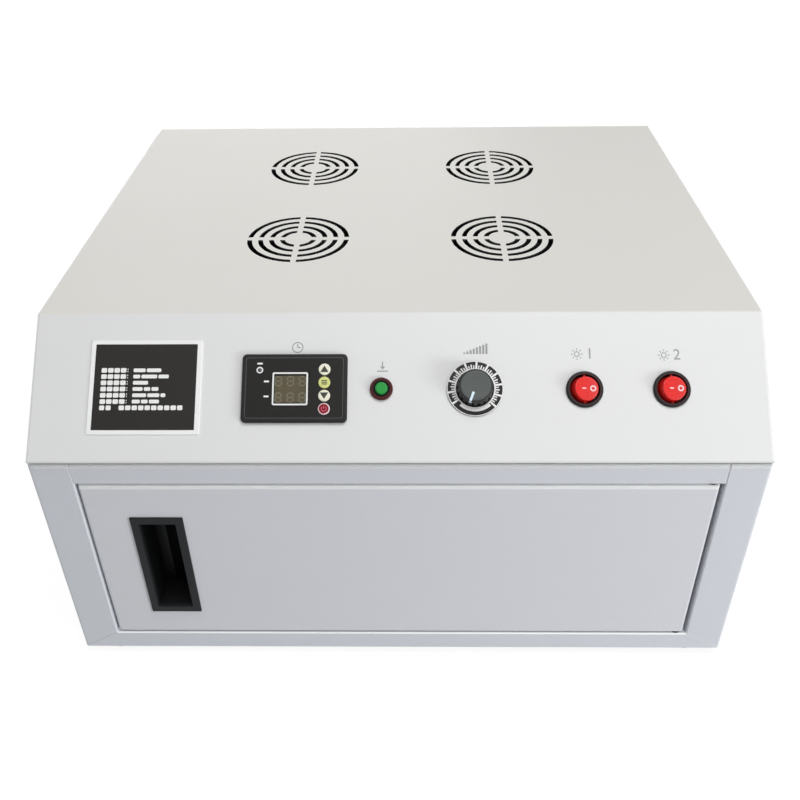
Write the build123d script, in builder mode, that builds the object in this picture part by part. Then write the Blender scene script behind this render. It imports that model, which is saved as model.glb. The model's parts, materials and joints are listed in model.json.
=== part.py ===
from build123d import *

import os
from math import atan2, cos, degrees, radians, sin, tan

# UV curing box: a folded steel case with a swinging front door, under a hood with a
# sloped control panel and four fan-cooled lamp heads over the curing chamber.
# Millimetres, +Z up, +Y to the back, origin on the floor under the middle of the box.

os.makedirs("parts", exist_ok=True)

# Overall size
overall_width = 465.0
overall_depth = 420.0
body_height = 242.0
foot_height = 8.0

# Hood: sheet, bends and the sloped panel at its front
hood_sheet = 1.2
hood_long_bend = 3.2
hood_side_bend = 2.2
slope_run = 71.4
slope_rise = 66.0
hood_flange = 12.0

# Lower case, set back under the hood, with the front frame around the door
case_sheet = 1.2
case_bend = 2.4
case_side_setback = 0.3
case_front_setback = 1.0
case_flange = 16.0
stile_width = 26.5
sill_height = 15.4
header_height = 16.6
frame_return = 15.0
frame_fold = 0.8
header_end_gap = 0.2
mitre_gap = 0.5
mitre_depth = 0.5

# Lamp plate between case and hood; its edge is the dark seam under the hood
plate_sheet = 1.2
plate_setback = 4.0

# Door, a folded pan closed by an inner tray
door_thickness = 26.0
door_setback = 0.4
door_left_gap = 1.4
door_right_gap = 2.7
door_top_gap = 1.3
door_bottom_gap = 1.0
door_sheet = 1.2
door_bend = 2.0
door_tray_rim = 8.0
door_tray_corner = 0.5
tray_gap = 0.2

# Door hinge: pins in the frame, bushes in the door
pin_radius = 2.0
pin_inset_x = 7.3
pin_inset_y = 4.6
pin_reach = 12.0
pin_head_radius = 3.0
pin_head_height = 2.0
running_gap = 0.05
bush_wall = 1.1
bush_length = 9.0
bush_flange_radius = 4.2
bush_flange_height = 0.8

# Flush pull in the door
pull_width = 34.8
pull_height = 90.2
pull_from_left = 45.9
pull_from_bottom = 67.7
pull_rim = 5.2
pull_flange = 1.4
pull_edge = 0.45
pull_wall = 1.3
pull_depth = 23.2
pull_draft = 5.0
pull_lip = 1.5
pull_lip_depth = 21.0

# Curing chamber
liner_sheet = 1.0
liner_inset = 8.5
liner_height_gap = 0.2
liner_floor_rise = 21.0
liner_back_gap = 19.0
chamber_sill = 6.6
chamber_header = 8.0
seal_thickness = 3.0
seal_width = 6.5
seal_gap = 0.6

# Magnet catch and its strike plate
catch_width = 6.8
catch_height = 36.0
catch_depth = 16.0
catch_corner = 1.7
strike_width = 9.0
strike_height = 40.0
strike_corner = 2.2
strike_hole_pitch = 24.0
strike_sheet = 1.0
catch_clearance = 2.0
catch_gap = 0.3

# Feet and fasteners
foot_radius = 10.0
foot_taper = 1.2
foot_inset_x = 22.5
foot_inset_y = 15.0
foot_recess_radius = 4.6
foot_recess = 4.0
m4_radius = 2.0
m4_head_radius = 3.5
m4_head_height = 2.4
m4_nut_flats = 7.0
m4_nut_height = 3.2
m3_radius = 1.5
m3_head_radius = 3.0
m3_head_height = 1.8
m3_length = 8.0
screw_gap = 0.1
cross_width = 0.7
cross_share = 1.3
cross_depth = 0.9
foot_screw_grip = 5.0
hood_screw_pitch = 120.0
hood_screw_count = 3
hood_screw_grip = 5.0

# Fan grilles cut in the hood and the lamp heads under them
lamp_pitch_x = 150.0
lamp_pitch_y = 138.0
lamp_set_back = 2.3
grille_radius = 37.5
grille_ring_pitch = 8.0
grille_rings = 4
grille_slot = 3.6
grille_bar_y = 4.0
grille_bar_x = 4.7

lamp_frame_size = 90.0
lamp_frame_height = 7.0
lamp_frame_wall = 11.0
window_thickness = 3.0
window_ledge = 4.0
window_gap = 0.2
window_lip = 1.0
led_board_gap = 4.0
led_board_thickness = 1.6
led_board_border = 9.0
led_array_thickness = 1.0
led_array_rim = 3.0
led_array_recess = 0.4

sink_size = 100.0
sink_base = 5.0
fin_height = 26.0
fin_thickness = 2.0
fin_gaps_between_holes = 11

fan_size = 80.0
fan_height = 25.0
fan_corner = 4.0
fan_bore_radius = 38.2
fan_hole_pitch = 71.5
fan_hole_radius = 2.15
fan_mount_radius = 16.0
fan_mount_height = 3.0
fan_strut = 5.0
fan_strut_count = 4
fan_bearing_radius = 4.0
fan_bearing_height = 12.0
fan_shaft_radius = 1.5
fan_hub_radius = 15.0
fan_hub_wall = 1.6
fan_hub_gap = 1.0
fan_top_gap = 1.2
blade_count = 7
blade_tip_gap = 1.0
blade_chord = 20.0
blade_thickness = 1.4
blade_root_pitch = 46.0
blade_tip_pitch = 28.0
fan_screw_radius = 1.8
fan_screw_head_radius = 3.4
fan_screw_head_height = 2.0
fan_screw_bite = 10.0

# Electronics in the hood
driver_from_front = 88.0
driver_rear_gap = 9.6
driver_middle_gap = 8.0
driver_width = 56.0
driver_height = 38.0
driver_ear = 8.0
driver_ear_height = 3.0
driver_bend = 2.0
board_width = 120.0
board_depth = 40.0
board_thickness = 1.6
board_standoff = 6.0
board_standoff_radius = 3.0
board_hole_inset = 6.0
board_x = -50.0
board_set_back = 27.5
relay_size = (19.0, 15.0, 15.0)
relay_offsets = (0.0, 30.0)
transformer_size = (26.0, 24.0, 20.0)
transformer_offset = -36.0
terminal_width = 70.0
terminal_depth = 20.0
terminal_height = 19.0
terminal_ways = 7
terminal_x = 75.0
terminal_well_radius = 3.0
terminal_well_depth = 7.0
wire_radius = 1.2
wire_bend = 3.6
mains_radius = 3.2
mains_bend = 4.0
mains_drop = 17.6
mains_gap = 3.2

# Rear panel and mains inlet
rear_sheet = 1.2
rear_margin = 2.0
rear_screw_rise = 7.0
rear_screw_inset = 30.0
vent_slot_length = 26.0
vent_slot_width = 4.0
vent_pitch = 9.0
vent_count = 9
vent_from_side = 110.0
inlet_x = -20.0
inlet_body = (27.0, 20.0)
inlet_flange = (49.0, 22.6)
inlet_flange_height = 2.0
inlet_corner = 3.0
inlet_depth = 25.0
inlet_wall = 1.6
inlet_well = 18.0
inlet_pin = (2.0, 4.0, 14.0)
inlet_pin_pitch = 7.0
inlet_screw_pitch = 40.0
fit_gap = 0.2

# Sloped panel: places are x, and s measured up the slope from the hood's front lip
label_size = (70.4, 60.9)
label_from_left = 72.9
label_rise = 48.6
label_corner = 1.2
label_thickness = 0.8

timer_place = (-64.75, 47.35)
timer_bezel = (66.5, 43.9)
timer_bezel_corner = 3.0
timer_bezel_height = 3.0
timer_bezel_edge = 1.0
timer_body = (60.0, 39.2)
timer_depth = 22.0
timer_wall = 1.5
timer_window_size = (24.6, 21.3)
timer_window_offset = (-2.6, -0.6)
timer_window_sheet = 1.0
timer_window_rim = 2.0
timer_board_depth = 8.0
timer_board_sheet = 1.6
timer_display_gap = 0.3
key_offset_x = 18.9
key_offset_s = -0.9
key_count = 4
key_pitch = 8.43
key_radius = 3.75
key_gap = 0.15
key_rise = 0.9
key_edge = 0.6
key_travel = 0.5
key_flange = 0.4
key_flange_height = 1.0
key_stem_radius = 1.6
tact_size = 5.6
tact_height = 3.6

trigger_place = (-10.1, 47.0)
trigger_bezel_radius = 7.2
trigger_bezel_height = 2.2
trigger_bezel_edge = 0.7
trigger_barrel_radius = 6.0
trigger_barrel_length = 22.0
trigger_cap_radius = 3.9
trigger_cap_rise = 1.6
trigger_cap_edge = 0.95
trigger_travel = 2.0
trigger_gap = 0.12
trigger_well = 9.0
trigger_nut_flats = 15.0
trigger_nut_height = 3.0

dial_place = (48.6, 47.2)
dial_radius = 17.7
dial_sheet = 1.0
knob_radius = 11.3
knob_height = 8.5
knob_lift = 0.5
knob_taper = 0.8
knob_flute_count = 18
knob_flute_radius = 0.9
knob_recess_radius = 6.4
knob_recess = 3.4
knob_skin = 1.6
pointer_width = 1.2
pointer_depth = 0.5
pointer_turn = 20.0
pot_radius = 8.0
pot_depth = 10.0
pot_tag = (1.5, 3.0)
pot_tag_pitch = 4.0
pot_tag_depth = 3.4
pot_bush_radius = 3.5
pot_bush_rise = 4.6
pot_shaft_radius = 3.0
pot_shaft_reach = 7.0
pot_nut_flats = 10.0
pot_nut_height = 2.0

switch_from_right = (115.4, 61.1)
switch_rise = 46.5
switch_bezel_radius = 11.6
switch_bezel_height = 2.0
switch_bezel_edge = 1.0
switch_mouth_edge = 0.3
switch_barrel_radius = 9.95
switch_barrel_length = 20.0
switch_bore_radius = 9.2
switch_well = 6.0
switch_tab = (6.3, 0.8, 8.0)
switch_tab_pitch = 7.0
rocker_radius = 8.5
rocker_tilt = 12.0
rocker_rise = 4.0
rocker_dish_radius = 34.0
rocker_draft = 9.0
rocker_edge = 0.35
rocker_skirt = 2.0
rocker_stem_radius = 3.5
rocker_stem = 2.4
rocker_pin_radius = 0.8
rocker_pin_bite = 0.45

# Levels and planes that follow from the sizes above
z_case = foot_height
z_top = foot_height + body_height
z_lip = z_top - slope_rise
case_top = z_lip - plate_sheet
y_front = -overall_depth / 2
y_back = overall_depth / 2
case_front = y_front + case_front_setback
case_back = y_back - case_front_setback
case_half = overall_width / 2 - case_side_setback
slope_angle = atan2(slope_rise, slope_run)
slope_up = Vector(0, cos(slope_angle), sin(slope_angle))
slope_out = Vector(0, -sin(slope_angle), cos(slope_angle))

opening_half = case_half - stile_width
opening_width = 2 * opening_half
opening_bottom = z_case + sill_height
opening_top = case_top - header_height
door_left = -opening_half + door_left_gap
door_right = opening_half - door_right_gap
door_bottom = opening_bottom + door_bottom_gap
door_top = opening_top - door_top_gap
door_front = case_front + door_setback
door_back = door_front + door_thickness
door_mid_x = (door_left + door_right) / 2
door_mid_z = (door_bottom + door_top) / 2
pin_x = opening_half - pin_inset_x
pin_y = door_front + pin_inset_y
pull_x = door_left + pull_from_left
pull_z = door_bottom + pull_from_bottom

seal_front = door_back + seal_gap
liner_front = seal_front + seal_thickness
liner_back = case_back - liner_back_gap
liner_floor = z_case + liner_floor_rise
liner_half = opening_half - liner_inset
liner_width = 2 * liner_half
chamber_bottom = opening_bottom + chamber_sill
chamber_top = opening_top - chamber_header
catch_x = -liner_half - liner_sheet - screw_gap

lamp_y = (y_front + slope_run + y_back) / 2 + lamp_set_back
lamp_front_y = lamp_y - lamp_pitch_y / 2
lamp_frame_throat = lamp_frame_size - 2 * lamp_frame_wall
window_size = lamp_frame_throat + 2 * window_ledge
window_opening = lamp_frame_throat - 2 * window_lip
led_board_size = lamp_frame_throat - 2 * led_board_gap
led_array_size = led_board_size - 2 * led_board_border
z_frame = z_lip
z_sink = z_frame + lamp_frame_height
z_fan = z_sink + sink_base + fin_height
fin_pitch = fan_hole_pitch / fin_gaps_between_holes
fin_count = 2 * int((sink_size - fin_thickness) / 2 / fin_pitch) + 1
z_hub = z_fan + fan_mount_height + fan_hub_gap
hub_height = fan_height - fan_mount_height - fan_hub_gap - fan_top_gap
label_place = (label_from_left - overall_width / 2, label_rise)
switch_places = [(overall_width / 2 - inset, switch_rise) for inset in switch_from_right]
lamp_centres = [
    (side * lamp_pitch_x / 2, lamp_y + row * lamp_pitch_y / 2)
    for row in (-1, 1)
    for side in (-1, 1)
]


def on_slope(place, lift=0.0):
    """Plane on the sloped panel at (x, s), with its Z out of the panel."""
    x, s = place
    origin = Vector(x, y_front, z_lip) + slope_up * s + slope_out * lift
    return Plane(origin=origin, x_dir=(1, 0, 0), z_dir=slope_out)


def facing_front(y):
    """Upright plane at y whose local axes are X and Z, and whose normal is -Y."""
    return Plane(origin=(0, y, 0), x_dir=(1, 0, 0), z_dir=(0, -1, 0))


def save(piece, name):
    """Label a finished piece and write it to its own file."""
    piece.part.label = name
    export_step(piece.part, f"parts/{name}.step")


def hex_radius(flats):
    """Corner radius of a hexagon from its width across flats."""
    return flats / 2 / cos(radians(30))


def add_screws(plane, centres, shank, head, head_height, length):
    """Screws with their heads on the plane and their shanks along its normal."""
    with BuildSketch(plane) as heads:
        with Locations(*centres):
            Circle(head)
    extrude(heads.sketch, amount=-head_height)
    with BuildSketch(plane.offset(-head_height)) as crosses:
        with Locations(*centres):
            Rectangle(cross_share * head, cross_width)
            Rectangle(cross_width, cross_share * head)
    extrude(crosses.sketch, amount=cross_depth, mode=Mode.SUBTRACT)
    with BuildSketch(plane) as shanks:
        with Locations(*centres):
            Circle(shank)
    extrude(shanks.sketch, amount=length)


# Hood
def hood_outline(inset):
    """Side profile of the hood with every wall moved in by inset."""
    lean = inset * sin(slope_angle)
    drop = inset * cos(slope_angle)
    lip_y = y_front + lean + (inset + drop) / tan(slope_angle)
    crease_y = y_front + lean + (slope_rise - inset + drop) / tan(slope_angle)
    back_y = y_back - inset
    low = z_lip + inset
    high = z_top - inset
    return [(lip_y, low), (crease_y, high), (back_y, high), (back_y, low)]


def hood_block(inset):
    """Solid hood shape with rounded bends."""
    with BuildPart() as block:
        with BuildSketch(Plane.YZ):
            with BuildLine():
                Polyline(hood_outline(inset), close=True)
            make_face()
        extrude(amount=overall_width / 2 - inset, both=True)
        long_bends = block.edges().filter_by(Axis.X).group_by(Axis.Z)[-1]
        fillet(long_bends, hood_long_bend - inset)
        for side in (block.faces().sort_by(Axis.X)[0], block.faces().sort_by(Axis.X)[-1]):
            bends = side.edges().filter_by(lambda e: e.center().Z > z_lip + hood_long_bend)
            fillet(bends, hood_side_bend - inset)
    return block


hood_outer = hood_block(0)
hood_core = hood_block(hood_sheet)
hood_screw_x = overall_width / 2 - hood_flange + m4_head_radius
hood_screw_places = [
    (side * hood_screw_x, (i - (hood_screw_count - 1) / 2) * hood_screw_pitch)
    for side in (-1, 1)
    for i in range(hood_screw_count)
]
rear_screw_places = [
    (column * (overall_width / 2 - rear_screw_inset), level)
    for column in (-1, 0, 1)
    for level in (z_lip + rear_screw_rise, z_top - rear_screw_rise)
]
with BuildPart() as hood:
    add(hood_outer.part)
    add(hood_core.part, mode=Mode.SUBTRACT)
    # Underside, open inside a flange that sits on the lamp plate
    with BuildSketch(Plane.XY.offset(z_lip)):
        with Locations((0, hood_flange / 2)):
            Rectangle(overall_width - 2 * hood_flange, overall_depth - 3 * hood_flange)
    extrude(amount=hood_sheet, mode=Mode.SUBTRACT)
    # Back, open inside a flange that holds the rear panel
    with BuildSketch(facing_front(y_back)):
        with Locations((0, (z_lip + z_top) / 2)):
            Rectangle(overall_width - 2 * hood_flange, slope_rise - 2 * hood_flange)
    extrude(amount=hood_sheet, mode=Mode.SUBTRACT)
    # Ring-slot grilles over the fans
    with BuildSketch(Plane.XY.offset(z_top)):
        with Locations(*lamp_centres):
            for ring in range(grille_rings):
                Circle(grille_radius - ring * grille_ring_pitch)
                Circle(grille_radius - ring * grille_ring_pitch - grille_slot, mode=Mode.SUBTRACT)
            Rectangle(grille_bar_y, 2 * grille_radius, mode=Mode.SUBTRACT)
            Rectangle(2 * grille_radius, grille_bar_x, mode=Mode.SUBTRACT)
    extrude(amount=-hood_sheet, mode=Mode.SUBTRACT)
    # Cut-outs in the sloped panel
    with BuildSketch(on_slope(timer_place)):
        Rectangle(timer_body[0] + 2 * fit_gap, timer_body[1] + 2 * fit_gap)
    extrude(amount=-hood_sheet, mode=Mode.SUBTRACT)
    for place, radius in (
        (trigger_place, trigger_barrel_radius),
        (dial_place, pot_bush_radius),
        (switch_places[0], switch_barrel_radius),
        (switch_places[1], switch_barrel_radius),
    ):
        with BuildSketch(on_slope(place)):
            Circle(radius + fit_gap)
        extrude(amount=-hood_sheet, mode=Mode.SUBTRACT)
    # Screw holes in the underside flange and the back flange
    with BuildSketch(Plane.XY.offset(z_lip)):
        with Locations(*hood_screw_places):
            Circle(m4_radius + screw_gap)
    extrude(amount=hood_sheet, mode=Mode.SUBTRACT)
    with BuildSketch(facing_front(y_back)):
        with Locations(*rear_screw_places):
            Circle(m3_radius + screw_gap)
    extrude(amount=hood_sheet, mode=Mode.SUBTRACT)
save(hood, "hood")

# Rear panel, inside the hood's back flange
rear_outer = y_back - hood_sheet
rear_width = overall_width - 2 * (hood_sheet + rear_margin)
rear_low = z_lip + hood_sheet + rear_margin / 2
rear_high = z_top - hood_sheet - rear_margin
inlet_z = (z_lip + z_top) / 2
vent_x = overall_width / 2 - vent_from_side
inlet_screw_places = [(inlet_x + side * inlet_screw_pitch / 2, inlet_z) for side in (-1, 1)]
with BuildPart() as rear_panel:
    with BuildSketch(facing_front(rear_outer)):
        with Locations((0, (rear_low + rear_high) / 2)):
            Rectangle(rear_width, rear_high - rear_low)
        with Locations((-vent_x, inlet_z), (vent_x, inlet_z)):
            with GridLocations(vent_pitch, 0, vent_count, 1):
                SlotOverall(vent_slot_length, vent_slot_width, rotation=90, mode=Mode.SUBTRACT)
        with Locations((inlet_x, inlet_z)):
            Rectangle(inlet_body[0] + 2 * fit_gap, inlet_body[1] + 2 * fit_gap, mode=Mode.SUBTRACT)
        with Locations(*rear_screw_places, *inlet_screw_places):
            Circle(m3_radius + screw_gap, mode=Mode.SUBTRACT)
    extrude(amount=rear_sheet)
save(rear_panel, "rear_panel")

with BuildPart() as rear_panel_screws:
    add_screws(
        facing_front(y_back), rear_screw_places, m3_radius, m3_head_radius, m3_head_height, m3_length
    )
    add_screws(
        facing_front(rear_outer + inlet_flange_height),
        inlet_screw_places,
        m3_radius,
        m3_head_radius,
        m3_head_height,
        m3_length,
    )
save(rear_panel_screws, "rear_panel_screws")

# Mains inlet: flange outside the rear panel, body through it, well with three blades
with BuildPart() as power_inlet:
    with BuildSketch(facing_front(rear_outer)):
        with Locations((inlet_x, inlet_z)):
            RectangleRounded(*inlet_flange, inlet_corner)
        with Locations(*inlet_screw_places):
            Circle(m3_radius + screw_gap, mode=Mode.SUBTRACT)
    extrude(amount=-inlet_flange_height)
    with BuildSketch(facing_front(rear_outer)):
        with Locations((inlet_x, inlet_z)):
            Rectangle(*inlet_body)
    extrude(amount=inlet_depth)
    with BuildSketch(facing_front(rear_outer + inlet_flange_height)):
        with Locations((inlet_x, inlet_z)):
            Rectangle(inlet_body[0] - 2 * inlet_wall, inlet_body[1] - 2 * inlet_wall)
    extrude(amount=inlet_well + inlet_flange_height, mode=Mode.SUBTRACT)
    with BuildSketch(facing_front(rear_outer - inlet_well)):
        with Locations((inlet_x, inlet_z)):
            with GridLocations(inlet_pin_pitch, 0, 3, 1):
                Rectangle(inlet_pin[0], inlet_pin[1])
    extrude(amount=-inlet_pin[2])
save(power_inlet, "power_inlet")

# Lower case: bottom, sides, back and the front frame in one folded sheet
case_width = 2 * case_half
case_depth = case_back - case_front
with BuildPart() as case_core:
    with BuildSketch(Plane.XY.offset(z_case + case_sheet)):
        Rectangle(case_width - 2 * case_sheet, case_depth - 2 * case_sheet)
    extrude(amount=case_top - z_case - 2 * case_sheet)
    fillet(case_core.edges().filter_by(Axis.Z), case_bend - case_sheet)

foot_x = overall_width / 2 - foot_inset_x
foot_y = case_back - foot_inset_y
foot_places = [(x, y) for x in (-foot_x, foot_x) for y in (-foot_y, foot_y)]
return_half = opening_half + case_sheet
with BuildPart() as lower_case:
    with BuildSketch(Plane.XY.offset(z_case)):
        Rectangle(case_width, case_depth)
    extrude(amount=case_top - z_case)
    fillet(lower_case.edges().filter_by(Axis.Z), case_bend)
    fillet(lower_case.faces().sort_by(Axis.Z)[-1].edges(), case_bend - case_sheet / 2)
    add(case_core.part, mode=Mode.SUBTRACT)
    # Top, open inside a flange under the lamp plate
    with BuildSketch(Plane.XY.offset(case_top)):
        Rectangle(case_width - 2 * case_flange, case_depth - 2 * case_flange)
    extrude(amount=-case_sheet, mode=Mode.SUBTRACT)
    # Door opening, which runs up to the lamp plate because the header is a separate strip
    with BuildSketch(facing_front(case_front)):
        with Locations((0, (opening_bottom + case_top) / 2)):
            Rectangle(opening_width, case_top - opening_bottom)
    extrude(amount=-case_flange, mode=Mode.SUBTRACT)
    # Folded returns of the stiles and the sill
    with BuildSketch(facing_front(case_front + frame_return)):
        with Locations((0, (opening_bottom - case_sheet + case_top) / 2)):
            Rectangle(2 * return_half, case_top - opening_bottom + case_sheet)
        with Locations((0, (opening_bottom + case_top) / 2)):
            Rectangle(opening_width, case_top - opening_bottom, mode=Mode.SUBTRACT)
    extrude(amount=frame_return - frame_fold)
    # Eased folds around the opening
    with BuildSketch(facing_front(case_front)):
        with Locations((0, (opening_bottom + case_top) / 2)):
            Rectangle(opening_width + 2 * frame_fold, case_top - opening_bottom + 2 * frame_fold)
    extrude(amount=-frame_fold, taper=45, mode=Mode.SUBTRACT)
    # Mitre seams in the lower corners of the frame
    with BuildSketch(facing_front(case_front)):
        for side in (-1, 1):
            with BuildLine():
                Line((side * opening_half, opening_bottom), (side * case_half, z_case))
            trace(line_width=mitre_gap)
    extrude(amount=-mitre_depth, mode=Mode.SUBTRACT)
    # Holes for the lower hinge pin, the feet and the hood screws
    with BuildSketch(Plane.XY.offset(opening_bottom)):
        with Locations((pin_x, pin_y)):
            Circle(pin_radius + screw_gap)
    extrude(amount=-case_sheet, mode=Mode.SUBTRACT)
    with BuildSketch(Plane.XY.offset(z_case)):
        with Locations(*foot_places):
            Circle(m4_radius + screw_gap)
    extrude(amount=case_sheet, mode=Mode.SUBTRACT)
    with BuildSketch(Plane.XY.offset(case_top)):
        with Locations(*hood_screw_places):
            Circle(m4_radius + screw_gap)
    extrude(amount=-case_sheet, mode=Mode.SUBTRACT)
save(lower_case, "lower_case")

# Front header: folded channel between the stiles, over the door
header_width = opening_width - 2 * header_end_gap
with BuildPart() as front_header:
    with BuildSketch(facing_front(case_front)):
        with Locations((0, (opening_top + case_top) / 2)):
            Rectangle(header_width, header_height)
    extrude(amount=-frame_return)
    front_edges = front_header.edges().filter_by(Axis.X).group_by(Axis.Y)[0]
    fillet(front_edges.sort_by(Axis.Z)[-1], case_bend - case_sheet / 2)
    low_edge = front_header.edges().filter_by(Axis.X).group_by(Axis.Z)[0].sort_by(Axis.Y)[0]
    fillet(low_edge, frame_fold)
    with BuildSketch(facing_front(case_front + case_sheet)):
        with Locations((0, (opening_top + case_top) / 2)):
            Rectangle(header_width, header_height - 2 * case_sheet)
    extrude(amount=-frame_return, mode=Mode.SUBTRACT)
    with BuildSketch(Plane.XY.offset(opening_top)):
        with Locations((pin_x, pin_y)):
            Circle(pin_radius + screw_gap)
    extrude(amount=case_sheet, mode=Mode.SUBTRACT)
save(front_header, "front_header")

# Lamp plate: ceiling of the chamber and floor of the hood
with BuildPart() as lamp_plate:
    with BuildSketch(Plane.XY.offset(case_top)):
        Rectangle(case_width - 2 * plate_setback, case_depth - 2 * plate_setback)
        with Locations(*lamp_centres):
            Rectangle(window_opening, window_opening, mode=Mode.SUBTRACT)
        with Locations(*hood_screw_places):
            Circle(m4_radius + screw_gap, mode=Mode.SUBTRACT)
    extrude(amount=plate_sheet)
save(lamp_plate, "lamp_plate")

# Screws that clamp hood, lamp plate and case, driven up from inside the case
with BuildPart() as hood_screws:
    add_screws(
        Plane.XY.offset(case_top - case_sheet),
        hood_screw_places,
        m4_radius,
        m4_head_radius,
        m4_head_height,
        case_sheet + plate_sheet + hood_sheet + hood_screw_grip,
    )
    with BuildSketch(Plane.XY.offset(z_lip + hood_sheet)):
        with Locations(*hood_screw_places):
            RegularPolygon(hex_radius(m4_nut_flats), 6)
            Circle(m4_radius + running_gap, mode=Mode.SUBTRACT)
    extrude(amount=m4_nut_height)
save(hood_screws, "hood_screws")

# Feet, with their screws and nuts
with BuildPart() as feet:
    with BuildSketch(Plane.XY.offset(foot_height)):
        with Locations(*foot_places):
            Circle(foot_radius)
    extrude(amount=-foot_height, taper=degrees(atan2(foot_taper, foot_height)))
    with BuildSketch(Plane.XY):
        with Locations(*foot_places):
            Circle(foot_recess_radius)
    extrude(amount=foot_recess, mode=Mode.SUBTRACT)
    with BuildSketch(Plane.XY):
        with Locations(*foot_places):
            Circle(m4_radius + screw_gap)
    extrude(amount=foot_height, mode=Mode.SUBTRACT)
save(feet, "feet")

with BuildPart() as foot_screws:
    add_screws(
        Plane.XY.offset(foot_recess),
        foot_places,
        m4_radius,
        m4_head_radius,
        m4_head_height,
        foot_height - foot_recess + case_sheet + foot_screw_grip,
    )
    with BuildSketch(Plane.XY.offset(z_case + case_sheet)):
        with Locations(*foot_places):
            RegularPolygon(hex_radius(m4_nut_flats), 6)
            Circle(m4_radius + running_gap, mode=Mode.SUBTRACT)
    extrude(amount=m4_nut_height)
save(foot_screws, "foot_screws")

# Reflector liner: floor on side skirts, walls, back and a front wall around the chamber mouth
liner_top = case_top - liner_height_gap
liner_base = z_case + case_sheet
liner_outer = liner_half + liner_sheet
liner_length = liner_back - liner_front
liner_mid_y = (liner_front + liner_back) / 2
front_wall_half = case_half - case_flange - liner_height_gap
with BuildPart() as chamber_liner:
    with BuildSketch(Plane.XY.offset(liner_base)):
        with Locations((0, liner_mid_y)):
            Rectangle(2 * liner_outer, liner_length)
            Rectangle(2 * liner_half, liner_length - 2 * liner_sheet, mode=Mode.SUBTRACT)
    extrude(amount=liner_top - liner_base)
    with BuildSketch(Plane.XY.offset(liner_floor)):
        with Locations((0, liner_mid_y)):
            Rectangle(2 * liner_outer, liner_length)
    extrude(amount=liner_sheet)
    with BuildSketch(facing_front(liner_front + liner_sheet)):
        with Locations((0, (liner_base + liner_top) / 2)):
            Rectangle(2 * front_wall_half, liner_top - liner_base)
    extrude(amount=liner_sheet)
    with BuildSketch(facing_front(liner_front + liner_sheet)):
        with Locations((0, (chamber_bottom + chamber_top) / 2)):
            Rectangle(liner_width, chamber_top - chamber_bottom)
        with Locations((catch_x - catch_width / 2, door_mid_z)):
            Rectangle(catch_width + 2 * screw_gap, catch_height + 2 * catch_clearance)
    extrude(amount=liner_sheet, mode=Mode.SUBTRACT)
save(chamber_liner, "chamber_liner")

# Door seal: rubber strip around the chamber mouth, open where the catch is
with BuildPart() as door_seal:
    with BuildSketch(facing_front(liner_front)):
        with Locations((0, (chamber_bottom + chamber_top) / 2)):
            Rectangle(liner_width + 2 * seal_width, chamber_top - chamber_bottom + 2 * seal_width)
            Rectangle(liner_width, chamber_top - chamber_bottom, mode=Mode.SUBTRACT)
        with Locations((-liner_half - seal_width / 2, door_mid_z)):
            Rectangle(seal_width, strike_height + 2 * catch_clearance, mode=Mode.SUBTRACT)
    extrude(amount=seal_thickness)
save(door_seal, "door_seal")

# Magnet catch on the outside of the liner, and the strike plate that it holds
with BuildPart() as magnet_catch:
    with BuildSketch(facing_front(door_back + strike_sheet + catch_gap)):
        with Locations((catch_x - catch_width / 2, door_mid_z)):
            RectangleRounded(catch_width, catch_height, catch_corner)
    extrude(amount=-catch_depth)
save(magnet_catch, "magnet_catch")

strike_x = door_left + strike_width / 2 + door_sheet
with BuildPart() as strike_plate:
    with BuildSketch(facing_front(door_back)):
        with Locations((strike_x, door_mid_z)):
            RectangleRounded(strike_width, strike_height, strike_corner)
            with GridLocations(0, strike_hole_pitch, 1, 2):
                Circle(m3_radius, mode=Mode.SUBTRACT)
    extrude(amount=-strike_sheet)
save(strike_plate, "strike_plate")

# Door: outer pan, inner tray, flush pull
door_width = door_right - door_left
door_height = door_top - door_bottom
bush_radius = pin_radius + running_gap + bush_wall
with BuildPart() as door_panel:
    with BuildSketch(facing_front(door_front)):
        with Locations((door_mid_x, door_mid_z)):
            Rectangle(door_width, door_height)
    extrude(amount=-door_thickness)
    fillet(door_panel.edges().filter_by(Axis.Y), door_bend / 2)
    fillet(door_panel.faces().sort_by(Axis.Y)[0].edges(), door_bend)
    with BuildSketch(facing_front(door_front + door_sheet)):
        with Locations((door_mid_x, door_mid_z)):
            RectangleRounded(
                door_width - 2 * door_sheet, door_height - 2 * door_sheet, door_tray_corner
            )
    extrude(amount=-door_thickness, mode=Mode.SUBTRACT)
    with BuildSketch(facing_front(door_front)):
        with Locations((pull_x, pull_z)):
            Rectangle(
                pull_width - 2 * (pull_rim - pull_wall - fit_gap),
                pull_height - 2 * (pull_rim - pull_wall - fit_gap),
            )
    extrude(amount=-door_sheet, mode=Mode.SUBTRACT)
    with BuildSketch(Plane.XY.offset(door_bottom)):
        with Locations((pin_x, pin_y)):
            Circle(bush_radius + running_gap)
    extrude(amount=door_height, mode=Mode.SUBTRACT)
save(door_panel, "door_panel")

with BuildPart() as door_inner_panel:
    with BuildSketch(facing_front(door_back)):
        with Locations((door_mid_x, door_mid_z)):
            RectangleRounded(
                door_width - 2 * (door_sheet + tray_gap),
                door_height - 2 * (door_sheet + tray_gap),
                door_tray_corner,
            )
    extrude(amount=door_tray_rim)
    with BuildSketch(facing_front(door_back - door_sheet)):
        with Locations((door_mid_x, door_mid_z)):
            Rectangle(
                door_width - 2 * (2 * door_sheet + tray_gap),
                door_height - 2 * (2 * door_sheet + tray_gap),
            )
    extrude(amount=door_tray_rim, mode=Mode.SUBTRACT)
save(door_inner_panel, "door_inner_panel")

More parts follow.
